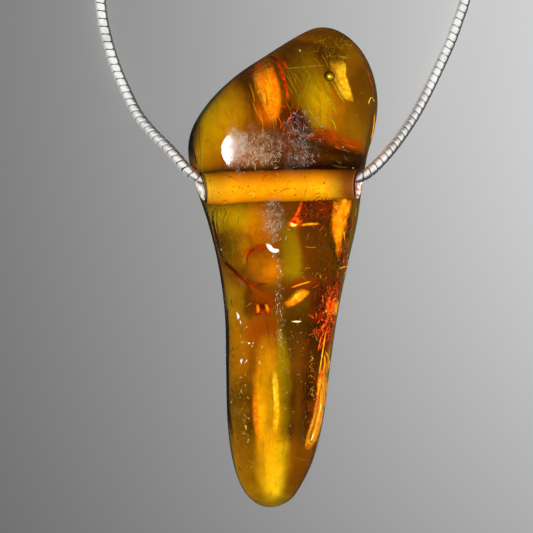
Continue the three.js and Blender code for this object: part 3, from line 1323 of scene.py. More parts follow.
STREAKS = (
    Streak(Hue.FIRE, ((264, 58), (270, 56.8), (275, 59), (279, 66), (283, 76), (286, 88), (289, 103)),
           4.2, 2.0, 1.2),
    Streak(Hue.FIRE, ((279.5, 57), (282.5, 60), (285, 65), (286.5, 70)), 4.4, 2.0),
    Streak(Hue.SILK, ((282, 69), (297, 67.3), (311, 66), (326, 65.5)), 1.6, 1.6),
    # a painted highlight along the ridge at the stone's left edge
    Streak(Hue.GOLD, ((200, 122), (199.8, 136), (200.6, 150), (201.4, 164), (203, 178)), 1.4, 0.6),
    Streak(Hue.GOLD, ((368, 105), (371.5, 97), (375, 103)), 1.3, 0.7),
    # painted shade: dark strokes along the stone's left rim
    Streak(Hue.BARK, ((198, 118), (192, 132), (191, 146), (194, 162)), 6.5, 0.8),
    Streak(Hue.BARK, ((203, 198), (208, 222), (214, 246), (220, 272), (224.5, 300)), 5.5, 0.7),
    Streak(Hue.BARK, ((225.5, 296), (227.5, 330), (227.5, 370), (228.5, 410), (235, 450)), 5.0, 0.6),
    Streak(Hue.EMBER, ((361, 60), (368.5, 74), (372.5, 88), (373, 104)), 1.4, 0.4),
    Streak(Hue.ORANGE, ((375, 112), (373.5, 128), (370.5, 144)), 1.8, 0.4),
    Streak(Hue.YELLOW, ((246, 196), (249, 193.5), (253, 193), (254, 195.5), (250, 197.5)), 1.2, 1.6),
    Streak(Hue.EMBER, ((262, 180), (266, 175), (272, 173.5), (276, 177)), 0.9, 1.8),
    Streak(Hue.EMBER, ((278, 194), (283, 190), (290, 188)), 0.9, 1.8),
    Streak(Hue.EMBER, ((221, 258), (230, 267), (240, 276), (248, 284), (253, 295)), 5.0, 2.6),
    Streak(Hue.EMBER, ((247, 268), (248, 257), (253, 249.5), (264, 244)), 4.0, 2.6),
    Streak(Hue.EMBER, ((248, 282), (258, 284.5), (270, 283)), 2.4, 2.6),
    Streak(Hue.EMBER, ((212, 206), (214, 226), (219, 246), (223, 262)), 3.0, 1.2),
    Streak(Hue.ORANGE, ((299, 225.5), (310, 224), (321, 223.5)), 3.6, 2.2),
    Streak(Hue.FIRE, ((302, 200), (299.5, 208), (296, 216), (290, 223)), 4.4, 2.0),
    Streak(Hue.ORANGE, ((338, 268.4), (344, 267), (350, 265.5)), 1.6, 0.8),
    Streak(Hue.SILK, ((304, 246), (310, 247.5), (318, 247)), 0.8, 1.2),
    Streak(Hue.ORANGE, ((290, 288), (300, 284.5), (312, 281)), 2.4, 2.6),
    Streak(Hue.GOLD, ((274, 368), (275.5, 392), (276, 412), (273.5, 438)), 8.5, 2.2, 0.6),
    Streak(Hue.GOLD, ((273, 376), (274.5, 394), (275, 410)), 5.0, 1.8),
    Streak(Hue.ORANGE, ((257, 380), (254.8, 405), (256.5, 428), (261, 446)), 7.0, 2.4, 0.5),
    Streak(Hue.FIRE, ((318, 352), (320.5, 340), (325, 330)), 1.6, 1.4),
    Streak(Hue.ORANGE, ((326, 330), (323, 350), (318.5, 378)), 1.6, 1.2),
    Streak(Hue.ORANGE, ((325, 350), (329, 360), (328.5, 372)), 2.0, 0.8),
    Streak(Hue.ORANGE, ((323, 366), (322, 394), (317, 422), (306, 452)), 14.0, 1.3, 0.3),
    Streak(Hue.ORANGE, ((325, 372), (324.5, 396), (320, 420), (311, 444)), 9.0, 0.9, 0.2),
    Streak(Hue.ORANGE, ((322, 384), (321.5, 402), (317, 424), (310, 444)), 5.5, 0.8, 0.2),
    Streak(Hue.YELLOW, ((321, 402), (320.5, 408), (319, 414)), 1.6, 0.6),
    Streak(Hue.YELLOW, ((314, 432), (312.5, 437), (310.5, 442)), 1.6, 0.6),
)
BRUSHES = (
    # the orange fan and the red crack beside it
    Brush(Hue.ORANGE, ((258, 62), (265, 88), (272, 118)), 6.5, 34, (0.7, 1.6), (16, 40), (1.2, 3.6), 31),
    Brush(Hue.GOLD, ((253, 74), (260, 96), (268, 120)), 5.5, 12, (0.4, 0.8), (12, 30), (1.0, 3.0), 32),
    Brush(Hue.FIRE, ((281, 70), (286, 88), (289, 104)), 1.6, 12, (0.7, 1.4), (5, 14), (1.6, 2.4), 34),
    # the dark wedge and the dark zone
    Brush(Hue.FIRE, ((289, 104), (288, 122), (282, 148)), 4.5, 30, (0.5, 1.4), (3, 9), (1.4, 3.0), 35, 0.5),
    Brush(Hue.EMBER, ((289, 104), (294, 130), (296, 162)), 9.0, 44, (0.5, 1.4), (3, 9), (1.2, 3.0),
          36, 0.9),
    Brush(Hue.EMBER, ((304, 134), (326, 137), (350, 146)), 4.0, 40, (0.6, 1.8), (8, 24), (1.4, 3.6),
          37, 0.12),
    Brush(Hue.DARK, ((296, 138), (326, 150), (352, 160)), 8.0, 30, (1.0, 2.8), (8, 26), (1.2, 3.0),
          38, 0.3),
    # the silky lobes
    Brush(Hue.SILK, ((298, 66), (312, 92), (330, 126)), 12.0, 36, (0.6, 1.5), (10, 34), (1.6, 4.2),
          39, 0.10),
    Brush(Hue.SILK, ((300, 46), (326, 44), (352, 62)), 8.0, 16, (0.4, 0.9), (4, 14), (1.4, 3.4), 42, 0.9),
    Brush(Hue.SILK, ((226, 206), (230, 236), (238, 262)), 9.0, 30, (0.6, 1.4), (6, 20), (1.2, 3.0),
          44, 0.4),
    # a painted grey sheen on the dark left flank
    Brush(Hue.GREY_SCUFF, ((193, 132), (192, 146), (195, 160)), 1.0, 7, (0.7, 1.4), (8, 18), (0.3, 0.5),
          80, 0.05),
    Brush(Hue.EMBER, ((209, 206), (216, 240), (223, 286)), 1.2, 10, (0.5, 1.0), (5, 16), (0.6, 1.2),
          68, 0.1),
    # the right side under the bore
    Brush(Hue.EMBER, ((308, 202), (318, 212), (328, 222)), 9.0, 30, (0.6, 1.6), (4, 12), (1.2, 2.6),
          45, 1.2),
    Brush(Hue.DARK, ((310, 204), (318, 212), (328, 220)), 8.0, 30, (0.8, 2.2), (4, 12), (1.2, 2.6),
          66, 1.2),
    Brush(Hue.DARK, ((326, 226), (330, 258), (328, 296)), 9.0, 44, (0.6, 1.6), (6, 22), (1.0, 3.0),
          46, 0.2),
    Brush(Hue.SILK, ((306, 236), (310, 258), (306, 280)), 7.0, 10, (0.3, 0.7), (4, 12), (0.8, 2.4),
          47, 0.9),
    Brush(Hue.EMBER, ((352, 216), (346, 250), (340, 290)), 4.0, 44, (0.6, 1.6), (5, 20), (0.8, 2.0),
          48, 0.25),
    Brush(Hue.ORANGE, ((352, 210), (347, 244), (342, 276)), 3.0, 10, (0.5, 1.0), (5, 16), (0.7, 1.6),
          49, 0.2),
    # the red cluster
    Brush(Hue.FIRE, ((337, 292), (331, 314), (325, 336)), 6.5, 80, (0.7, 2.2), (3, 12), (1.0, 3.0),
          50, 0.7),
    Brush(Hue.EMBER, ((334, 284), (328, 312), (322, 344)), 8.5, 80, (0.8, 2.4), (4, 16), (1.0, 3.2),
          51, 0.5),
    Brush(Hue.ORANGE, ((338, 298), (334, 308), (332, 322)), 4.0, 26, (0.6, 1.8), (2, 8), (0.8, 2.0),
          52, 0.8),
    Brush(Hue.DARK, ((332, 290), (326, 314), (318, 344)), 9.0, 34, (0.8, 2.0), (4, 14), (0.9, 2.4),
          53, 0.5),
    Brush(Hue.FIRE, ((338, 320), (334, 334), (331, 348)), 2.0, 18, (0.6, 1.4), (3, 10), (0.8, 1.6),
          54, 0.5),
    # the tip
    Brush(Hue.DARK, ((304, 344), (306, 400), (300, 462)), 8.0, 6, (1.2, 3.0), (8, 30), (1.0, 3.4),
          58, 0.15),
    Brush(Hue.ORANGE, ((325, 352), (321, 398), (314, 430)), 3.0, 6, (1.2, 3.0), (8, 24), (0.6, 1.5),
          60, 0.06),
    Brush(Hue.FIRE, ((328, 346), (322, 380), (316, 408)), 2.0, 4, (0.8, 2.0), (8, 28), (0.6, 1.6), 62, 0.1),
    Brush(Hue.SILK, ((236, 300), (236, 380), (248, 470)), 6.0, 60, (0.5, 1.1), (3, 12), (0.4, 2.0),
          63, 0.6),
    Brush(Hue.ORANGE, ((312, 356), (311, 376), (312, 396)), 1.2, 34, (0.4, 0.8), (1, 4), (0.5, 1.4),
          65, 1.5),
    # the skin's scuffs: scratch marks painted pale, with a painted sheen of reflected light
    Brush(Hue.SCUFF, ((238, 152), (258, 154), (280, 154)), 9.0, 220, (0.35, 0.9), (2, 7), (0.06, 0.16),
          71, 1.6),
    Brush(Hue.GREY_SCUFF, ((298, 112), (302, 140), (304, 166)), 8.0, 200, (0.35, 0.9), (2, 8),
          (0.06, 0.16), 72, 1.2),
    Brush(Hue.SCUFF, ((270, 202), (271, 222), (275, 242)), 5.0, 130, (0.35, 0.9), (2, 7), (0.06, 0.16),
          73, 1.2),
    Brush(Hue.SCUFF, ((276, 254), (281, 284), (277, 302), (280, 319), (281, 346)), 2.2, 90, (0.3, 0.8),
          (2, 6), (0.06, 0.14), 74, 0.7),
    # painted highlights along the middle trail of scuffs
    Brush(Hue.WHITE, ((276, 256), (281, 284), (277, 302), (280, 330)), 1.6, 9, (0.4, 0.8), (2, 5),
          (0.06, 0.12), 75, 0.5),
    Brush(Hue.SCUFF, ((290, 330), (296, 380), (290, 440)), 12.0, 60, (0.35, 0.8), (1, 5), (0.06, 0.16),
          76, 1.6),
    Brush(Hue.GOLD, ((240, 340), (241, 390), (246, 440)), 5.0, 40, (0.6, 1.4), (1, 4), (0.2, 0.6), 77, 1.6),
    Brush(Hue.SCUFF, ((212, 206), (219, 250), (226, 330)), 3.0, 40, (0.35, 0.8), (1, 5), (0.06, 0.2),
          78, 0.8),
)
FLAKES = (
    Flake(Hue.GOLD, ((328, 60), (336, 58), (346, 61), (347, 74), (351, 87), (354, 103), (345, 101),
          (337, 91), (333, 81), (329, 71)), 2.2, -0.4),
    Flake(Hue.GOLD, ((331, 63), (343, 63), (344, 74), (347, 86), (350, 97), (344, 93), (337, 81)),
          1.9, -0.4, 0.1 * MM),
    Flake(Hue.ORANGE, ((250, 70), (258, 61), (269, 59), (276, 68), (281, 84), (283, 104), (281, 119),
          (275, 124), (268, 118), (260, 104), (254, 88)), 2.0, 2.4),
    Flake(Hue.ORANGE, ((282, 304), (290, 295), (299, 288), (311, 291), (304, 300), (295, 306), (285, 309)),
          2.6, -0.4),
    Flake(Hue.GOLD, ((288, 301), (294, 294), (301, 290.5), (305, 293), (298, 299), (291, 303)),
          2.3, -0.4, 0.1 * MM),
    Flake(Hue.FIRE, ((285, 226), (291, 215), (298, 208), (302, 216), (303, 223), (296, 229)), 2.6),
    Flake(Hue.ORANGE, ((333, 196), (352, 196), (350, 214), (345, 233), (338, 262), (333, 242), (329, 226),
          (331, 209)), 3.0, -0.8),
    Flake(Hue.ORANGE, ((341, 199), (347, 198), (345, 208), (342, 214)), 2.2, -0.5, 0.1 * MM),
    Flake(Hue.ORANGE, ((255.5, 304), (258.5, 303.5), (260, 310), (258, 314), (256, 313)), 2.6),
    Flake(Hue.ORANGE, ((264, 304), (267, 303.5), (269.5, 311), (268, 314), (265.5, 311)), 2.6),
    Flake(Hue.EMBER, ((254, 300), (262, 302), (270, 300), (273, 309), (271, 318), (262, 315), (254, 317)),
          3.0),
    Flake(Hue.FIRE, ((325, 300), (332, 297), (339, 300), (340, 312), (334, 319), (326, 314)), 1.6, -0.3),
    Flake(Hue.ORANGE, ((333, 302), (337.5, 301), (339, 311), (336, 317), (333.5, 310)),
          1.2, -0.2, 0.1 * MM),
    # a painted highlight on a crack's edge
    Flake(Hue.WHITE, ((290, 321.4), (296, 320.6), (303, 321.4), (296, 322.6)), 0.5, 0.0, 0.06 * MM),
    # a painted reflection: the white crescent of a small light on the skin
    Flake(Hue.WHITE, ((265, 243), (270, 244), (274, 248.4), (280, 249.4), (278, 253.4), (272, 253),
          (267, 248.6)), 0.10, 0.0, 0.06 * MM),
    # a painted highlight on a small bubble below the bore
    Flake(Hue.WHITE, ((290, 221.6), (294, 223.4), (298, 224.2), (294, 227), (290, 225.4)),
          1.4, 0.0, 0.1 * MM),
)
CHIPS = (  # column, row, half length and half width in pixels, and turn; the last ones are yellow
    (238, 316, 4.4, 1.5, 75), (240.5, 322, 2.2, 0.7, 80), (246.6, 327, 0.8, 0.6, 0),
    (249, 343.3, 1.4, 1.0, 0), (241.3, 361, 3.0, 1.1, 100), (246.3, 361, 2.6, 0.4, 125),
    (231.2, 402, 1.3, 0.6, 80), (226, 355, 1.0, 0.7, 90), (225.8, 366, 0.9, 0.6, 90),
    (221, 249.5, 1.1, 0.8, 40), (300, 50.5, 1.6, 0.6, 50), (253, 343, 0.8, 0.6, 0),
    (242, 342, 2.6, 1.2, 20), (240.5, 336, 0.8, 2.2, 0), (259.5, 362.5, 3.0, 0.5, 65),
    (257, 358, 1.6, 0.4, 50), (240.7, 377.4, 2.4, 0.7, 150), (241.3, 391, 2.8, 0.8, 80),
    (234, 395.8, 1.0, 0.6, 0), (245, 385, 2.4, 0.5, 170), (245.7, 427, 3.0, 1.1, 75),
    (248, 441, 3.0, 0.5, 110), (242, 409, 0.9, 0.6, 0), (248, 418, 0.8, 0.6, 0),
    (252, 346, 2.0, 0.5, 120), (248, 398, 1.4, 0.5, 60), (262, 347, 2.4, 0.4, 120),
    (220.5, 265, 0.8, 0.7, 0), (343, 147, 0.7, 0.6, 0), (353, 168, 0.7, 0.6, 0),
    (273, 480, 0.9, 0.7, 0), (240, 467, 0.8, 0.6, 0),
)
WHITE_CHIPS = 12
SPANGLES = (
    Spangles(Hue.FIRE, (330, 318), (31, 9), 97, 60, (0.06, 0.34), (0.9, 3.4), 11),
    Spangles(Hue.ORANGE, (334, 312), (24, 6), 97, 22, (0.05, 0.22), (0.8, 2.6), 12),
    Spangles(Hue.DARK, (326, 300), (40, 10), 97, 26, (0.10, 0.40), (1.4, 3.0), 18),
    Spangles(Hue.FIRE, (317, 211), (15, 9), 0, 22, (0.05, 0.22), (2.4, 4.2), 13),
    Spangles(Hue.DARK, (319, 210), (14, 9), 0, 18, (0.12, 0.40), (2.4, 3.4), 19),
    Spangles(Hue.FIRE, (290, 134), (26, 7), 82, 30, (0.05, 0.22), (3.0, 5.0), 14),
    Spangles(Hue.ORANGE, (320, 256), (30, 12), 95, 26, (0.04, 0.14), (2.0, 4.0), 15),
    Spangles(Hue.GOLD, (311, 388), (40, 5), 92, 34, (0.03, 0.10), (1.6, 3.6), 16),
    Spangles(Hue.GOLD, (319, 404), (46, 4), 103, 22, (0.05, 0.16), (0.8, 1.6), 17),
    Spangles(Hue.GOLD, (240, 392), (54, 9), 90, 40, (0.03, 0.09), (0.1, 1.2), 20),
    Spangles(Hue.GOLD, (330, 48), (26, 12), -10, 40, (0.03, 0.10), (1.4, 3.4), 21),
    Spangles(Hue.ORANGE, (346, 240), (44, 6), 98, 24, (0.04, 0.14), (0.8, 2.2), 22),
    Spangles(Hue.GOLD, (216, 232), (34, 5), 74, 22, (0.03, 0.10), (0.6, 1.8), 23),
)


# A ribbon's section: place across, lift off its middle plane and fade, round its rim
LENS = (
    (-1.0, 0.0, 1.0), (-0.55, 0.8, 0.45), (0.0, 1.0, 0.0), (0.55, 0.8, 0.45),
    (1.0, 0.0, 1.0), (0.55, -0.8, 0.45), (0.0, -1.0, 0.0), (-0.55, -0.8, 0.45),
)
# A flake's rings: share of its outline, and lift off its middle plane
SHEET_RINGS = ((0.25, -1.0), (0.6, -0.8), (0.85, -0.5), (1.0, 0.0), (0.85, 0.5), (0.6, 0.8), (0.25, 1.0))


@dataclass
class Inclusions:
    """What lies in the clear amber over the cloudy bed: cracks, flow lines, a bubble, threads."""

    sight: Sight
    bubble_pixel: tuple[float, float] = (329.4, 76.2)
    bubble_radius: float = 0.56 * MM
    bubble_depth: float = 2.2 * MM
    edge_pixels: float = 1.2
    curls: int = 40
    curl_box: tuple[float, float, float, float] = (312, 36, 354, 60)
    curl_radius: float = 0.011 * MM

    def ribbon(self, streak: Streak) -> Shape:
        """A streak's shape.

        Args:
            streak: the streak.

        Returns:
            A skin of a lens-like section along its route, whose fade rises to its rims and ends.
        """
        route = smooth_route([(a, d, 0.0) for a, d in streak.points], 2.5)[:, :2]
        way = np.gradient(route, axis=0)
        side = np.column_stack([way[:, 1], -way[:, 0]]) / np.linalg.norm(way, axis=1)[:, None]
        share = np.linspace(-1, 1, len(route))
        half = (streak.width / 2 * np.sqrt(np.clip(1.02 - share**4, 0, 1)))[:, None]
        depth = (streak.depth + streak.fall * (share + 1) / 2) * MM
        lines = {across: self.sight.inside(route + side * half * across, depth)
                 for across in {row[0] for row in LENS}}
        lift = np.array([0, 0, streak.thickness / 2])
        rings = [lines[across] + up * lift for across, up, _ in LENS]
        fade = np.maximum([row[2] for row in LENS], np.abs(share)[:, None] ** 2)
        return tube_mesh(np.stack(rings, axis=1), fade.ravel())

    @staticmethod
    def turned(centre: tuple[float, float], along: np.ndarray | float, aside: np.ndarray | float,
               turn: float) -> np.ndarray:
        """Pixels that are so far along and beside a turned line through a centre.

        Args:
            centre: its column and row.
            along: how far along the line, in pixels.
            aside: how far beside it.
            turn: the line's turn, in radians.

        Returns:
            Rows of column and row.
        """
        return np.column_stack([centre[0] + along * math.cos(turn) - aside * math.sin(turn),
                                centre[1] + along * math.sin(turn) + aside * math.cos(turn)])

    def strokes(self, brush: Brush) -> list[Shape]:
        """A brush's streaks.

        Args:
            brush: the brush.

        Returns:
            A shape for each of them, without those that would fall outside the stone.
        """
        draw = np.random.default_rng(brush.seed)
        route = smooth_route([(a, d, 0.0) for a, d in brush.route], 1.0)[:, :2]
        ways = np.gradient(route, axis=0)
        made = []
        for _ in range(brush.count):
            at = draw.integers(len(route))
            way = ways[at] / np.linalg.norm(ways[at])
            middle = route[at] + np.array([way[1], -way[0]]) * draw.normal(0.0, brush.spread)
            turn = math.atan2(way[1], way[0]) + draw.normal(0.0, brush.stray)
            half = draw.uniform(*brush.lengths) / 2 * np.array([math.cos(turn), math.sin(turn)])
            bow = draw.normal(0.0, 0.12) * np.array([-half[1], half[0]])
            ends = (middle - half, middle + bow, middle + half)
            width, depth = draw.uniform(*brush.widths), draw.uniform(*brush.depths)
            if max(self.sight.margin(*end) for end in ends) < self.edge_pixels:
                points = tuple((float(a), float(d)) for a, d in ends)
                made.append(self.ribbon(Streak(brush.hue, points, width, depth, 0.0, 0.06 * MM)))
        return made

    def sheet(self, flake: Flake) -> Shape:
        """A flake's shape.

        Args:
            flake: the flake.

        Returns:
            A skin whose rings shrink to its middle, above and below, and whose fade rises to its rim.
        """
        outline = [(a, d, 0.0) for a, d in flake.outline]
        rim = smooth_route(outline + outline[:1], 1.2)[:-1, :2]
        middle = rim.mean(axis=0)
        wide = max(1e-6, np.ptp(rim[:, 0]))
        rings, fade = [], []
        for share, lift in SHEET_RINGS:
            pixels = middle + (rim - middle) * share
            depth = (flake.depth + flake.lean * (pixels[:, 0] - middle[0]) / wide) * MM
            ring = self.sight.inside(pixels, depth)
            wave = 0.25 * flake.thickness * np.sin(ring[:, 0] * 5200 + ring[:, 1] * 3700)
            ring[:, 2] += lift * flake.thickness / 2 + wave
            rings.append(ring)
            fade += [share**2] * len(ring)
        return tube_mesh(np.array(rings), fade)

    def crowd(self, group: Spangles) -> list[Shape]:
        """A crowd's curved discs.

        Args:
            group: the crowd.

        Returns:
            A shape for each of them, without those that would fall outside the stone.
        """
        draw = np.random.default_rng(group.seed)
        turn = math.radians(group.turn)
        made = []
        for _ in range(group.count):
            far, about = math.sqrt(draw.uniform()), draw.uniform(0, 2 * math.pi)
            along, aside = group.reach[0] * far * math.cos(about), group.reach[1] * far * math.sin(about)
            pixel = self.turned(group.centre, along, aside, turn)
            depth = draw.uniform(*group.depths) * MM
            radius = draw.uniform(*group.size) * draw.uniform(0.6, 1.0) * MM
            spin = Matrix.Rotation(draw.normal(math.radians(-group.turn), group.scatter), 3, "Z")
            spin = spin @ Matrix.Rotation(draw.normal(0.0, 0.5), 3, "X")
            if self.sight.margin(*pixel[0]) > self.edge_pixels:
                continue
            place = self.sight.inside(pixel, max(depth, 1.3 * radius))[0]
            angle = round_angles(10)
            shape = 1 + 0.3 * np.sin(2 * angle + draw.uniform(0, 6)) + 0.15 * np.sin(5 * angle)
            slim = draw.uniform(0.12, 0.5)
            rings, fade = [], []
            for share, lift in ((0.4, 0.10), (1.0, 0.0), (0.4, 0.18)):
                ring = np.column_stack([share * shape * np.cos(angle),
                                        slim * share * shape * np.sin(angle),
                                        np.full(10, lift)]) * radius
                rings.append(ring @ np.array(spin).T + place)
                fade += [share * draw.uniform(0.2, 0.8)] * 10
            made.append(tube_mesh(np.array(rings), fade))
        return made

    def chip(self, across: float, down: float, half_length: float, half_width: float,
             turn: float) -> Shape:
        """A chipped spot just under the skin.

        Args:
            across: its column.
            down: its row.
            half_length: half its length, in pixels.
            half_width: half its width, in pixels.
            turn: its turn, in degrees.

        Returns:
            Its shape.
        """
        angle = round_angles(9)
        wobble = 1 + 0.3 * np.sin(3 * angle + across)
        outline = self.turned((across, down), half_length * wobble * np.cos(angle),
                              half_width * wobble * np.sin(angle), math.radians(turn))
        return self.sheet(Flake(Hue.WHITE, tuple(map(tuple, outline)), 0.08, 0.0, 0.05 * MM))

    def threads(self) -> list[Shape]:
        """Fine curled threads near the top of the broad end."""
        draw = np.random.default_rng(5)
        made = []
        for _ in range(self.curls):
            across = draw.uniform(self.curl_box[0], self.curl_box[2])
            down = draw.uniform(self.curl_box[1], self.curl_box[3])
            size, turns, start = draw.uniform(1.5, 5.0), draw.uniform(0.3, 0.9), draw.uniform(0, 6)
            t = np.linspace(0, 1, 16)
            angle = start + 2 * math.pi * turns * t
            pixels = np.column_stack([across + size * np.cos(angle) * (1.2 - t),
                                      down + size * np.sin(angle)])
            depth = (draw.uniform(1.6, 3.4) + 0.2 * np.sin(2 * angle)) * MM
            line = self.sight.inside(pixels, depth)
            made.append(tube_mesh(round_rings(line, self.curl_radius, sides=6)))
        return made

    def bubble(self) -> Shape:
        """The gas bubble, a little flattened."""
        place = self.sight.inside(np.array([self.bubble_pixel]), self.bubble_depth)[0]
        return ball(place, self.bubble_radius, rings=15, sides=24, height=0.92)

    def build(self) -> list[Piece]:
        """Makes every inclusion, one piece for each kind and hue."""
        finishes = {hue: GlintFinish("glint_" + hue.name.lower(), *hue.value).build() for hue in Hue}
        spots = {Hue.WHITE: CHIPS[:WHITE_CHIPS], Hue.GOLD: CHIPS[WHITE_CHIPS:]}
        pieces = []
        for hue in Hue:
            shapes = [self.ribbon(s) for s in STREAKS if s.hue is hue]
            shapes += [self.sheet(f) for f in FLAKES if f.hue is hue]
            for group in SPANGLES:
                if group.hue is hue:
                    shapes += self.crowd(group)
            for brush in BRUSHES:
                if brush.hue is hue:
                    shapes += self.strokes(brush)
            shapes += [self.chip(*spot) for spot in spots.get(hue, ())]
            pieces.append(joined("glints_" + hue.name.lower(), shapes, finishes[hue]))
        pieces.append(joined("curled_threads", self.threads(), finishes[Hue.SILK]))
        pieces.append(joined("gas_bubble", [self.bubble()], BubbleFinish().build()))
        return pieces


@dataclass
class SnakeChain:
    """A round snake chain: short bands whose wavy edges fit into each other."""

    diameter: float = 1.2 * MM
    pitch: float = 0.86 * MM
    sides: int = 20
    wave: float = 0.086 * MM
    turn: float = math.pi / 4
    gap: float = 0.012 * MM
    # share of the half length, and depth in millimetres
    profile: tuple[tuple[float, float], ...] = (
        (-1.0, 0.040), (-0.87, 0.010), (-0.45, 0.0), (0.45, 0.0), (0.87, 0.010), (1.0, 0.040),
    )
    step: float = 0.2 * MM

    def link(self, finish: Material) -> Piece:
        """One band about the Z axis, which the chain repeats.

        Args:
            finish: its material.

        Returns:
            The band, at the origin.
        """
        angle = round_angles(self.sides)
        half = (self.pitch - self.gap) / 2
        lean = self.wave * np.cos(2 * (angle - self.turn))
        rings = []
        for share, depth in self.profile:
            radius = self.diameter / 2 - depth * MM
            rings.append(np.column_stack(
                [radius * np.cos(angle), radius * np.sin(angle), share * half + lean]))
        return solid_piece("chain_link", tube_mesh(np.array(rings)), finish)

    def tree(self) -> bpy.types.NodeTree:
        """Geometry Nodes that set a link at each pitch of a route."""
        tree = bpy.data.node_groups.new("links_on_route", "GeometryNodeTree")
        kinds = {"Route": "NodeSocketGeometry", "Link": "NodeSocketObject",
                 "Pitch": "NodeSocketFloat", "Finish": "NodeSocketMaterial"}
        for name, kind in kinds.items():
            tree.interface.new_socket(name, in_out="INPUT", socket_type=kind)
        tree.interface.new_socket("Chain", in_out="OUTPUT", socket_type="NodeSocketGeometry")
        graph = Graph(tree)
        asked = graph.node("NodeGroupInput")
        given = {name: Wire(graph, asked.outputs[name]) for name in kinds}
        spaced = graph.node("GeometryNodeCurveToPoints", {"mode": "LENGTH"},
                            {"Curve": given["Route"], "Length": given["Pitch"]})
        link = graph.out("GeometryNodeObjectInfo", "Geometry", None, {"Object": given["Link"]})
        set_out = graph.out("GeometryNodeInstanceOnPoints", 0, None, {
            "Points": Wire(graph, spaced.outputs["Points"]), "Instance": link,
            "Rotation": Wire(graph, spaced.outputs["Rotation"])})
        real = graph.out("GeometryNodeRealizeInstances", 0, None, {"Geometry": set_out})
        dressed = graph.out("GeometryNodeSetMaterial", 0, None,
                            {"Geometry": real, "Material": given["Finish"]})
        graph.node("NodeGroupOutput", None, {"Chain": dressed})
        return tree

    def lay(self, name: str, line: np.ndarray, finish: Material) -> Piece:
        """Lays links along a line.

        Args:
            name: the piece's name.
            line: even points of the chain's middle.
            finish: its material.

        Returns:
            The stretch as one plain mesh.
        """
        curve = bpy.data.curves.new(name + "_route", "CURVE")
        curve.dimensions = "3D"
        curve.twist_mode = "Z_UP"
        spline = curve.splines.new("POLY")
        spline.points.add(len(line) - 1)
        spline.points.foreach_set("co", np.column_stack([line, np.ones(len(line))]).ravel())
        route = new_piece(name + "_route", curve)
        link = self.link(finish)
        modifier = route.modifiers.new("links", "NODES")
        modifier.node_group = self.tree()
        wanted = {"Link": link, "Pitch": self.pitch, "Finish": finish}
        for item in modifier.node_group.interface.items_tree:
            if item.item_type == "SOCKET" and item.name in wanted:
                modifier[item.identifier] = wanted[item.name]
        made = evaluated_mesh(route, name)
        bpy.data.objects.remove(link)
        return made


IN_BORE_MM = ((-7.6, 9.47, 6.6), (-4.0, 9.48, 6.6), (0.0, 9.56, 6.6), (4.0, 9.66, 6.6), (7.2, 9.74, 6.6))
LEFT_RUN_MM = (
    (-7.9, 9.5, 6.6), (-8.65, 9.63, 6.62), (-9.35, 9.95, 6.65), (-10.0, 10.4, 6.62),
    (-10.65, 11.0, 6.48), (-11.3, 11.75, 6.15), (-12.4, 13.0, 5.35), (-14.25, 14.85, 3.75),
    (-16.05, 17.05, 2.05), (-17.42, 19.72, 0.98), (-18.42, 22.0, 0.6), (-19.2, 24.3, 0.6),
    (-19.87, 26.9, 0.6), (-20.24, 29.5, 0.6), (-20.3, 32.2, 0.6), (-19.9, 34.9, 0.6),
    (-19.0, 37.5, 0.7), (-17.6, 39.9, 0.95),
)
RIGHT_RUN_MM = (
    (7.5, 9.76, 6.6), (8.3, 9.9, 6.64), (9.05, 10.24, 6.65), (9.8, 10.8, 6.55),
    (10.7, 11.68, 6.2), (11.75, 12.85, 5.5), (13.2, 14.75, 4.1), (14.75, 17.1, 2.45),
    (16.3, 19.98, 1.15), (17.81, 23.14, 0.6), (18.86, 25.52, 0.6), (19.61, 27.63, 0.6),
    (20.28, 29.6, 0.6), (20.7, 32.0, 0.6), (20.6, 35.0, 0.6), (19.4, 38.4, 0.6),
    (17.0, 41.8, 0.6), (13.8, 44.6, 0.6), (10.2, 46.6, 0.6), (6.9, 47.6, 0.6),
)
TAIL_MM = (
    (-2.65, 48.0, 3.75), (-5.4, 48.35, 2.7), (-8.2, 48.75, 1.5),
    (-11.0, 49.3, 0.97), (-13.6, 50.0, 0.95),
)


@dataclass
class Coil:
    """The chain's stored length: turns that lie beside and on each other, two to a layer."""

    centre: tuple[float, float] = (2.0 * MM, 40.9 * MM)
    inner: float = 5.6 * MM
    outer: float = 6.8 * MM
    turns: int = 8
    change: float = 50.0  # degrees of a turn in which it moves to the next place
    points_a_turn: int = 36

    def line(self, diameter: float) -> np.ndarray:
        """The turns' points, from the top of the first to the top of the last.

        Args:
            diameter: the chain's, which is the distance between turns.

        Returns:
            Rows of x, y and z.
        """
        places = []
        for k in range(self.turns + 1):
            beside = (k + 1) // 2 % 2
            places.append((self.inner if beside else self.outer, diameter * (k // 2 + 0.5)))
        points = []
        for k in range(self.turns):
            here, there = np.array(places[k]), np.array(places[k + 1])
            if k == self.turns - 1:
                there = here
            start = 360 - self.change * (k + 1)
            for i in range(self.points_a_turn):
                degrees = 360 * i / self.points_a_turn
                t = min(1, max(0, (degrees - start) / self.change))
                radius, height = here + (there - here) * (3 * t**2 - 2 * t**3)
                angle = math.radians(degrees + 90)
                points.append((self.centre[0] + radius * math.cos(angle),
                               self.centre[1] + radius * math.sin(angle), height))
        points.append((self.centre[0], self.centre[1] + self.outer, points[-1][2]))
        return np.array(points)


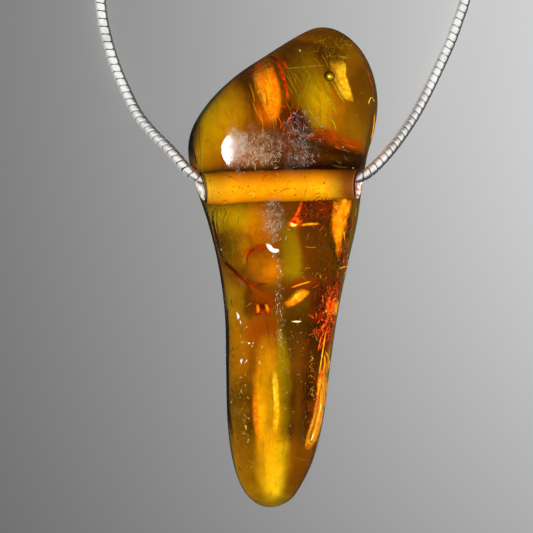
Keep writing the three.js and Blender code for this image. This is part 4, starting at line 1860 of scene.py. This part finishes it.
@dataclass
class EndFittings:
    """The turned end caps: the left one with a round eye, the right one with a wire hook."""

    gap: float = 0.3 * MM
    cap_profile: tuple[tuple[float, float], ...] = (  # along and radius in millimetres
        (0.0, 0.80), (0.05, 0.88), (0.14, 0.95), (0.85, 0.95), (0.92, 0.88), (1.06, 0.88),
        (1.13, 0.95), (3.62, 0.95), (3.85, 0.92), (4.05, 0.80), (4.16, 0.62), (4.20, 0.40),
    )
    cap_length: float = 4.2 * MM
    wire: float = 0.98 * MM
    eye_radius: float = 1.65 * MM
    shank: float = 3.4 * MM
    hook_radius: float = 1.75 * MM
    hook_return: float = 2.2 * MM
    bead: float = 0.69 * MM
    sides: int = 48

    def cap(self) -> Shape:
        """The cap, turned about the X axis."""
        return tube_mesh(lathe(np.array(self.cap_profile) * MM, self.sides))

    def eye(self) -> list[Shape]:
        """The round eye, as a closed ring of wire."""
        angle = round_angles(24)
        out = self.eye_radius + self.wire / 2 * np.cos(angle)
        rings = [np.column_stack([self.cap_length + self.eye_radius + out * math.cos(way),
                                  out * math.sin(way), self.wire / 2 * np.sin(angle)])
                 for way in round_angles(80)]
        return [loop_mesh(np.array(rings))]

    def hook(self) -> list[Shape]:
        """The hook's bent wire and the bead on its tip."""
        bend = self.cap_length + self.shank
        arc = [(bend + self.hook_radius * math.cos(a), self.hook_radius * (1 + math.sin(a)), 0.0)
               for a in np.linspace(-math.pi / 2, math.pi / 2, 9)]
        tip = (bend - self.hook_return, 2 * self.hook_radius + 0.1 * MM, 0.0)
        start = [(self.cap_length - 0.6 * MM, 0.0, 0.0),
                 (self.cap_length + self.shank / 2, -0.05 * MM, 0.0)]
        line = smooth_route(start + arc + [tip], 0.15 * MM)
        return [tube_mesh(round_rings(line, self.wire / 2, sides=20)),
                ball(np.array(tip), self.bead, rings=16, sides=28)]

    def build(self, silver: Material) -> list[Piece]:
        """Makes both fittings at the ends of their runs.

        Args:
            silver: their material.

        Returns:
            The left one and the right one.
        """
        made = []
        for node, shapes, run in (("eye_end", self.eye(), LEFT_RUN_MM),
                                  ("hook_end", self.hook(), TAIL_MM)):
            before, last = np.array(run[-2]) * MM, np.array(run[-1]) * MM
            way = (last - before) * (1, 1, 0)
            way = way / np.linalg.norm(way)
            turn = Matrix.Rotation(math.atan2(way[1], way[0]), 4, "Z")
            place = Matrix.Translation(last + way * self.gap) @ turn
            piece = joined(node + "_fine", [self.cap()] + shapes, silver, place)
            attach(piece, BODY)
            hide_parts(node)
            made.append(piece)
        return made


@dataclass
class Necklace:
    """The chain in its stretches, with the fittings at its ends."""

    chain: SnakeChain
    coil: Coil

    def build(self, silver: Material) -> list[Piece]:
        """Args:
            silver: the metal of all of it.

        Returns:
            The stretches and the end fittings.
        """
        step, wide = self.chain.step, self.chain.diameter
        in_bore, left, start, tail = (np.array(run) * MM for run in
                                      (IN_BORE_MM, LEFT_RUN_MM, RIGHT_RUN_MM, TAIL_MM))
        left = smooth_route(left, step)
        right = smooth_route(np.vstack([start, self.coil.line(wide), tail]), step)
        bore = smooth_route(np.vstack([left[:1], in_bore, right[:1]]), step)
        hidden = self.chain.lay("chain_in_bore_links", bore, silver)
        first = self.chain.lay("chain_left_links", left, silver)
        second = self.chain.lay("chain_right_links", right, silver)
        for piece, nodes in ((hidden, ["chain_in_bore"]), (first, ["chain_left_run"]),
                             (second, ["chain_right_run", "chain_coil", "chain_tail"])):
            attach(piece, BODY)
            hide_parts(*nodes)
            piece.visible_glossy = False
        eye, hook = EndFittings().build(silver)
        LOG.info("chain: left %.1f mm, in the bore %.1f mm, right %.1f mm",
                 length_of(left) / MM, length_of(bore) / MM, length_of(right) / MM)
        return [hidden, first, second, eye, hook]


@dataclass(frozen=True)
class SoftLamp:
    """A soft oval studio light that points at a place."""

    name: str
    place: Point
    size: tuple[float, float]
    watts: float
    aim: Point = (0.0, 0.0, 0.0)

    def build(self) -> None:
        """Adds the light."""
        lamp = bpy.data.lights.new(self.name, "AREA")
        lamp.shape = "ELLIPSE"
        lamp.size, lamp.size_y = self.size
        lamp.energy = self.watts
        holder = new_piece(self.name, lamp)
        holder.location = self.place
        way = Vector(self.aim) - Vector(self.place)
        holder.rotation_euler = way.to_track_quat("-Z", "Y").to_euler()


@dataclass
class Studio:
    """The camera, the floor and the lights."""

    height: float = 300.0 * MM
    centre: tuple[float, float] = (-1.76 * MM, 0.165 * MM)
    sensor: float = 36.0
    floor_side: float = 1.6
    backdrop_place: Point = (0.062, 0.030, 0.09)
    backdrop_watts: float = 0.222
    lamps: tuple[SoftLamp, ...] = (
        SoftLamp("window", (-0.240, 0.035, 0.31), (0.16, 0.12), 1.35),
        SoftLamp("fill", (0.12, -0.10, 0.50), (0.30, 0.30), 2.8),
        SoftLamp("side", (0.30, -0.08, 0.16), (0.20, 0.20), 2.0),
        SoftLamp("silver_card", (-0.02, 0.05, 0.36), (1.20, 1.20), 3.7),
        SoftLamp("silver_left", (-0.40, 0.05, 0.14), (0.60, 0.28), 0.20),
        SoftLamp("silver_right", (0.42, 0.10, 0.18), (0.60, 0.24), 0.50),
        SoftLamp("silver_bounce", (-0.20, 0.05, -0.15), (1.20, 0.80), 1.2),
    )

    def camera(self) -> None:
        """A camera that looks straight down, with the frame as wide as the photograph's."""
        lens = bpy.data.cameras.new("view")
        lens.sensor_width = self.sensor
        lens.lens = self.sensor * (self.height - WIDEST_LEVEL) / (PHOTO_PIXELS * PIXEL)
        lens.clip_start = 0.01
        holder = new_piece("view", lens)
        holder.location = (*self.centre, self.height)
        bpy.context.scene.camera = holder

    def light(self) -> None:
        """The lamps and the soft sky."""
        world = bpy.data.worlds.new("studio")
        bpy.context.scene.world = world
        world.use_nodes = True
        sky = world.node_tree.nodes["Background"].inputs
        sky["Color"].default_value = (0.5, 0.5, 0.5, 1.0)
        sky["Strength"].default_value = 0.04
        for lamp in self.lamps:
            lamp.build()

    def floor(self) -> None:
        """A plain floor, a hair under what lies on it, with a lamp of its own at the right."""
        half, level = self.floor_side / 2, -0.02 * MM
        corners = np.array([(-half, -half, level), (half, -half, level),
                            (half, half, level), (-half, half, level)])
        plane = mesh_piece("floor", corners, [(0, 1, 2, 3)], FloorFinish().build())
        plane.visible_glossy = False
        down = (*self.backdrop_place[:2], 0.0)
        SoftLamp("backdrop", self.backdrop_place, (0.06, 0.12), self.backdrop_watts, down).build()
        self.link("backdrop", [plane], True)

    @staticmethod
    def link(name: str, pieces: Sequence[Piece], alone: bool = False) -> None:
        """Keeps a lamp's light to certain pieces.

        Args:
            name: the lamp's name.
            pieces: what it lights.
            alone: whether nothing else casts a shadow in its light.
        """
        lit = bpy.data.collections.new(name)
        for piece in pieces:
            lit.objects.link(piece)
        linking = bpy.data.objects[name].light_linking
        linking.receiver_collection = lit
        if alone:
            linking.blocker_collection = lit


def main() -> None:
    """Builds the pendant and its studio."""
    logging.basicConfig(level=logging.INFO, format="%(message)s")
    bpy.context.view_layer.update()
    bpy.context.scene.view_settings.view_transform = "Standard"
    studio = Studio()
    studio.camera()
    silver = SilverFinish().build()
    metal = Necklace(SnakeChain(), Coil()).build(silver)
    amber = AmberFinish().build()
    stone = Stone()
    drop = stone.build(amber, FrostFinish("bore_wall").build())
    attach(drop, BODY)
    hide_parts("amber")
    drop.visible_diffuse = False
    LOG.info("amber drop: %d faces", len(drop.data.polygons))
    sight = Sight(stone, (*studio.centre, studio.height))
    inner = [CloudyBed(stone, sight).build(), BoreFrost(stone).build()]
    inner += Inclusions(sight).build()
    pink = ChipFinish("pink_chipped_mouth", (0.66, 0.50, 0.46, 1.0), (0.26, 0.10, 0.06, 1.0))
    inner += MouthFrost(stone).build([ChipFinish().build(), pink.build()])
    for piece in inner:
        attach(piece, BODY)
        piece.visible_diffuse = False
        LOG.info("%s: %d faces", piece.name, len(piece.data.polygons))
    studio.light()
    studio.floor()
    studio.link("fill", inner)
    studio.link("side", inner)
    white = [piece for piece in inner if piece.name in ("glints_white", "mouth_frost_left")]
    studio.link("window", [drop] + white)
    for lamp in ("silver_card", "silver_left", "silver_right"):
        studio.link(lamp, metal)
    studio.link("silver_bounce", metal, True)


if __name__ == "__main__":
    main()
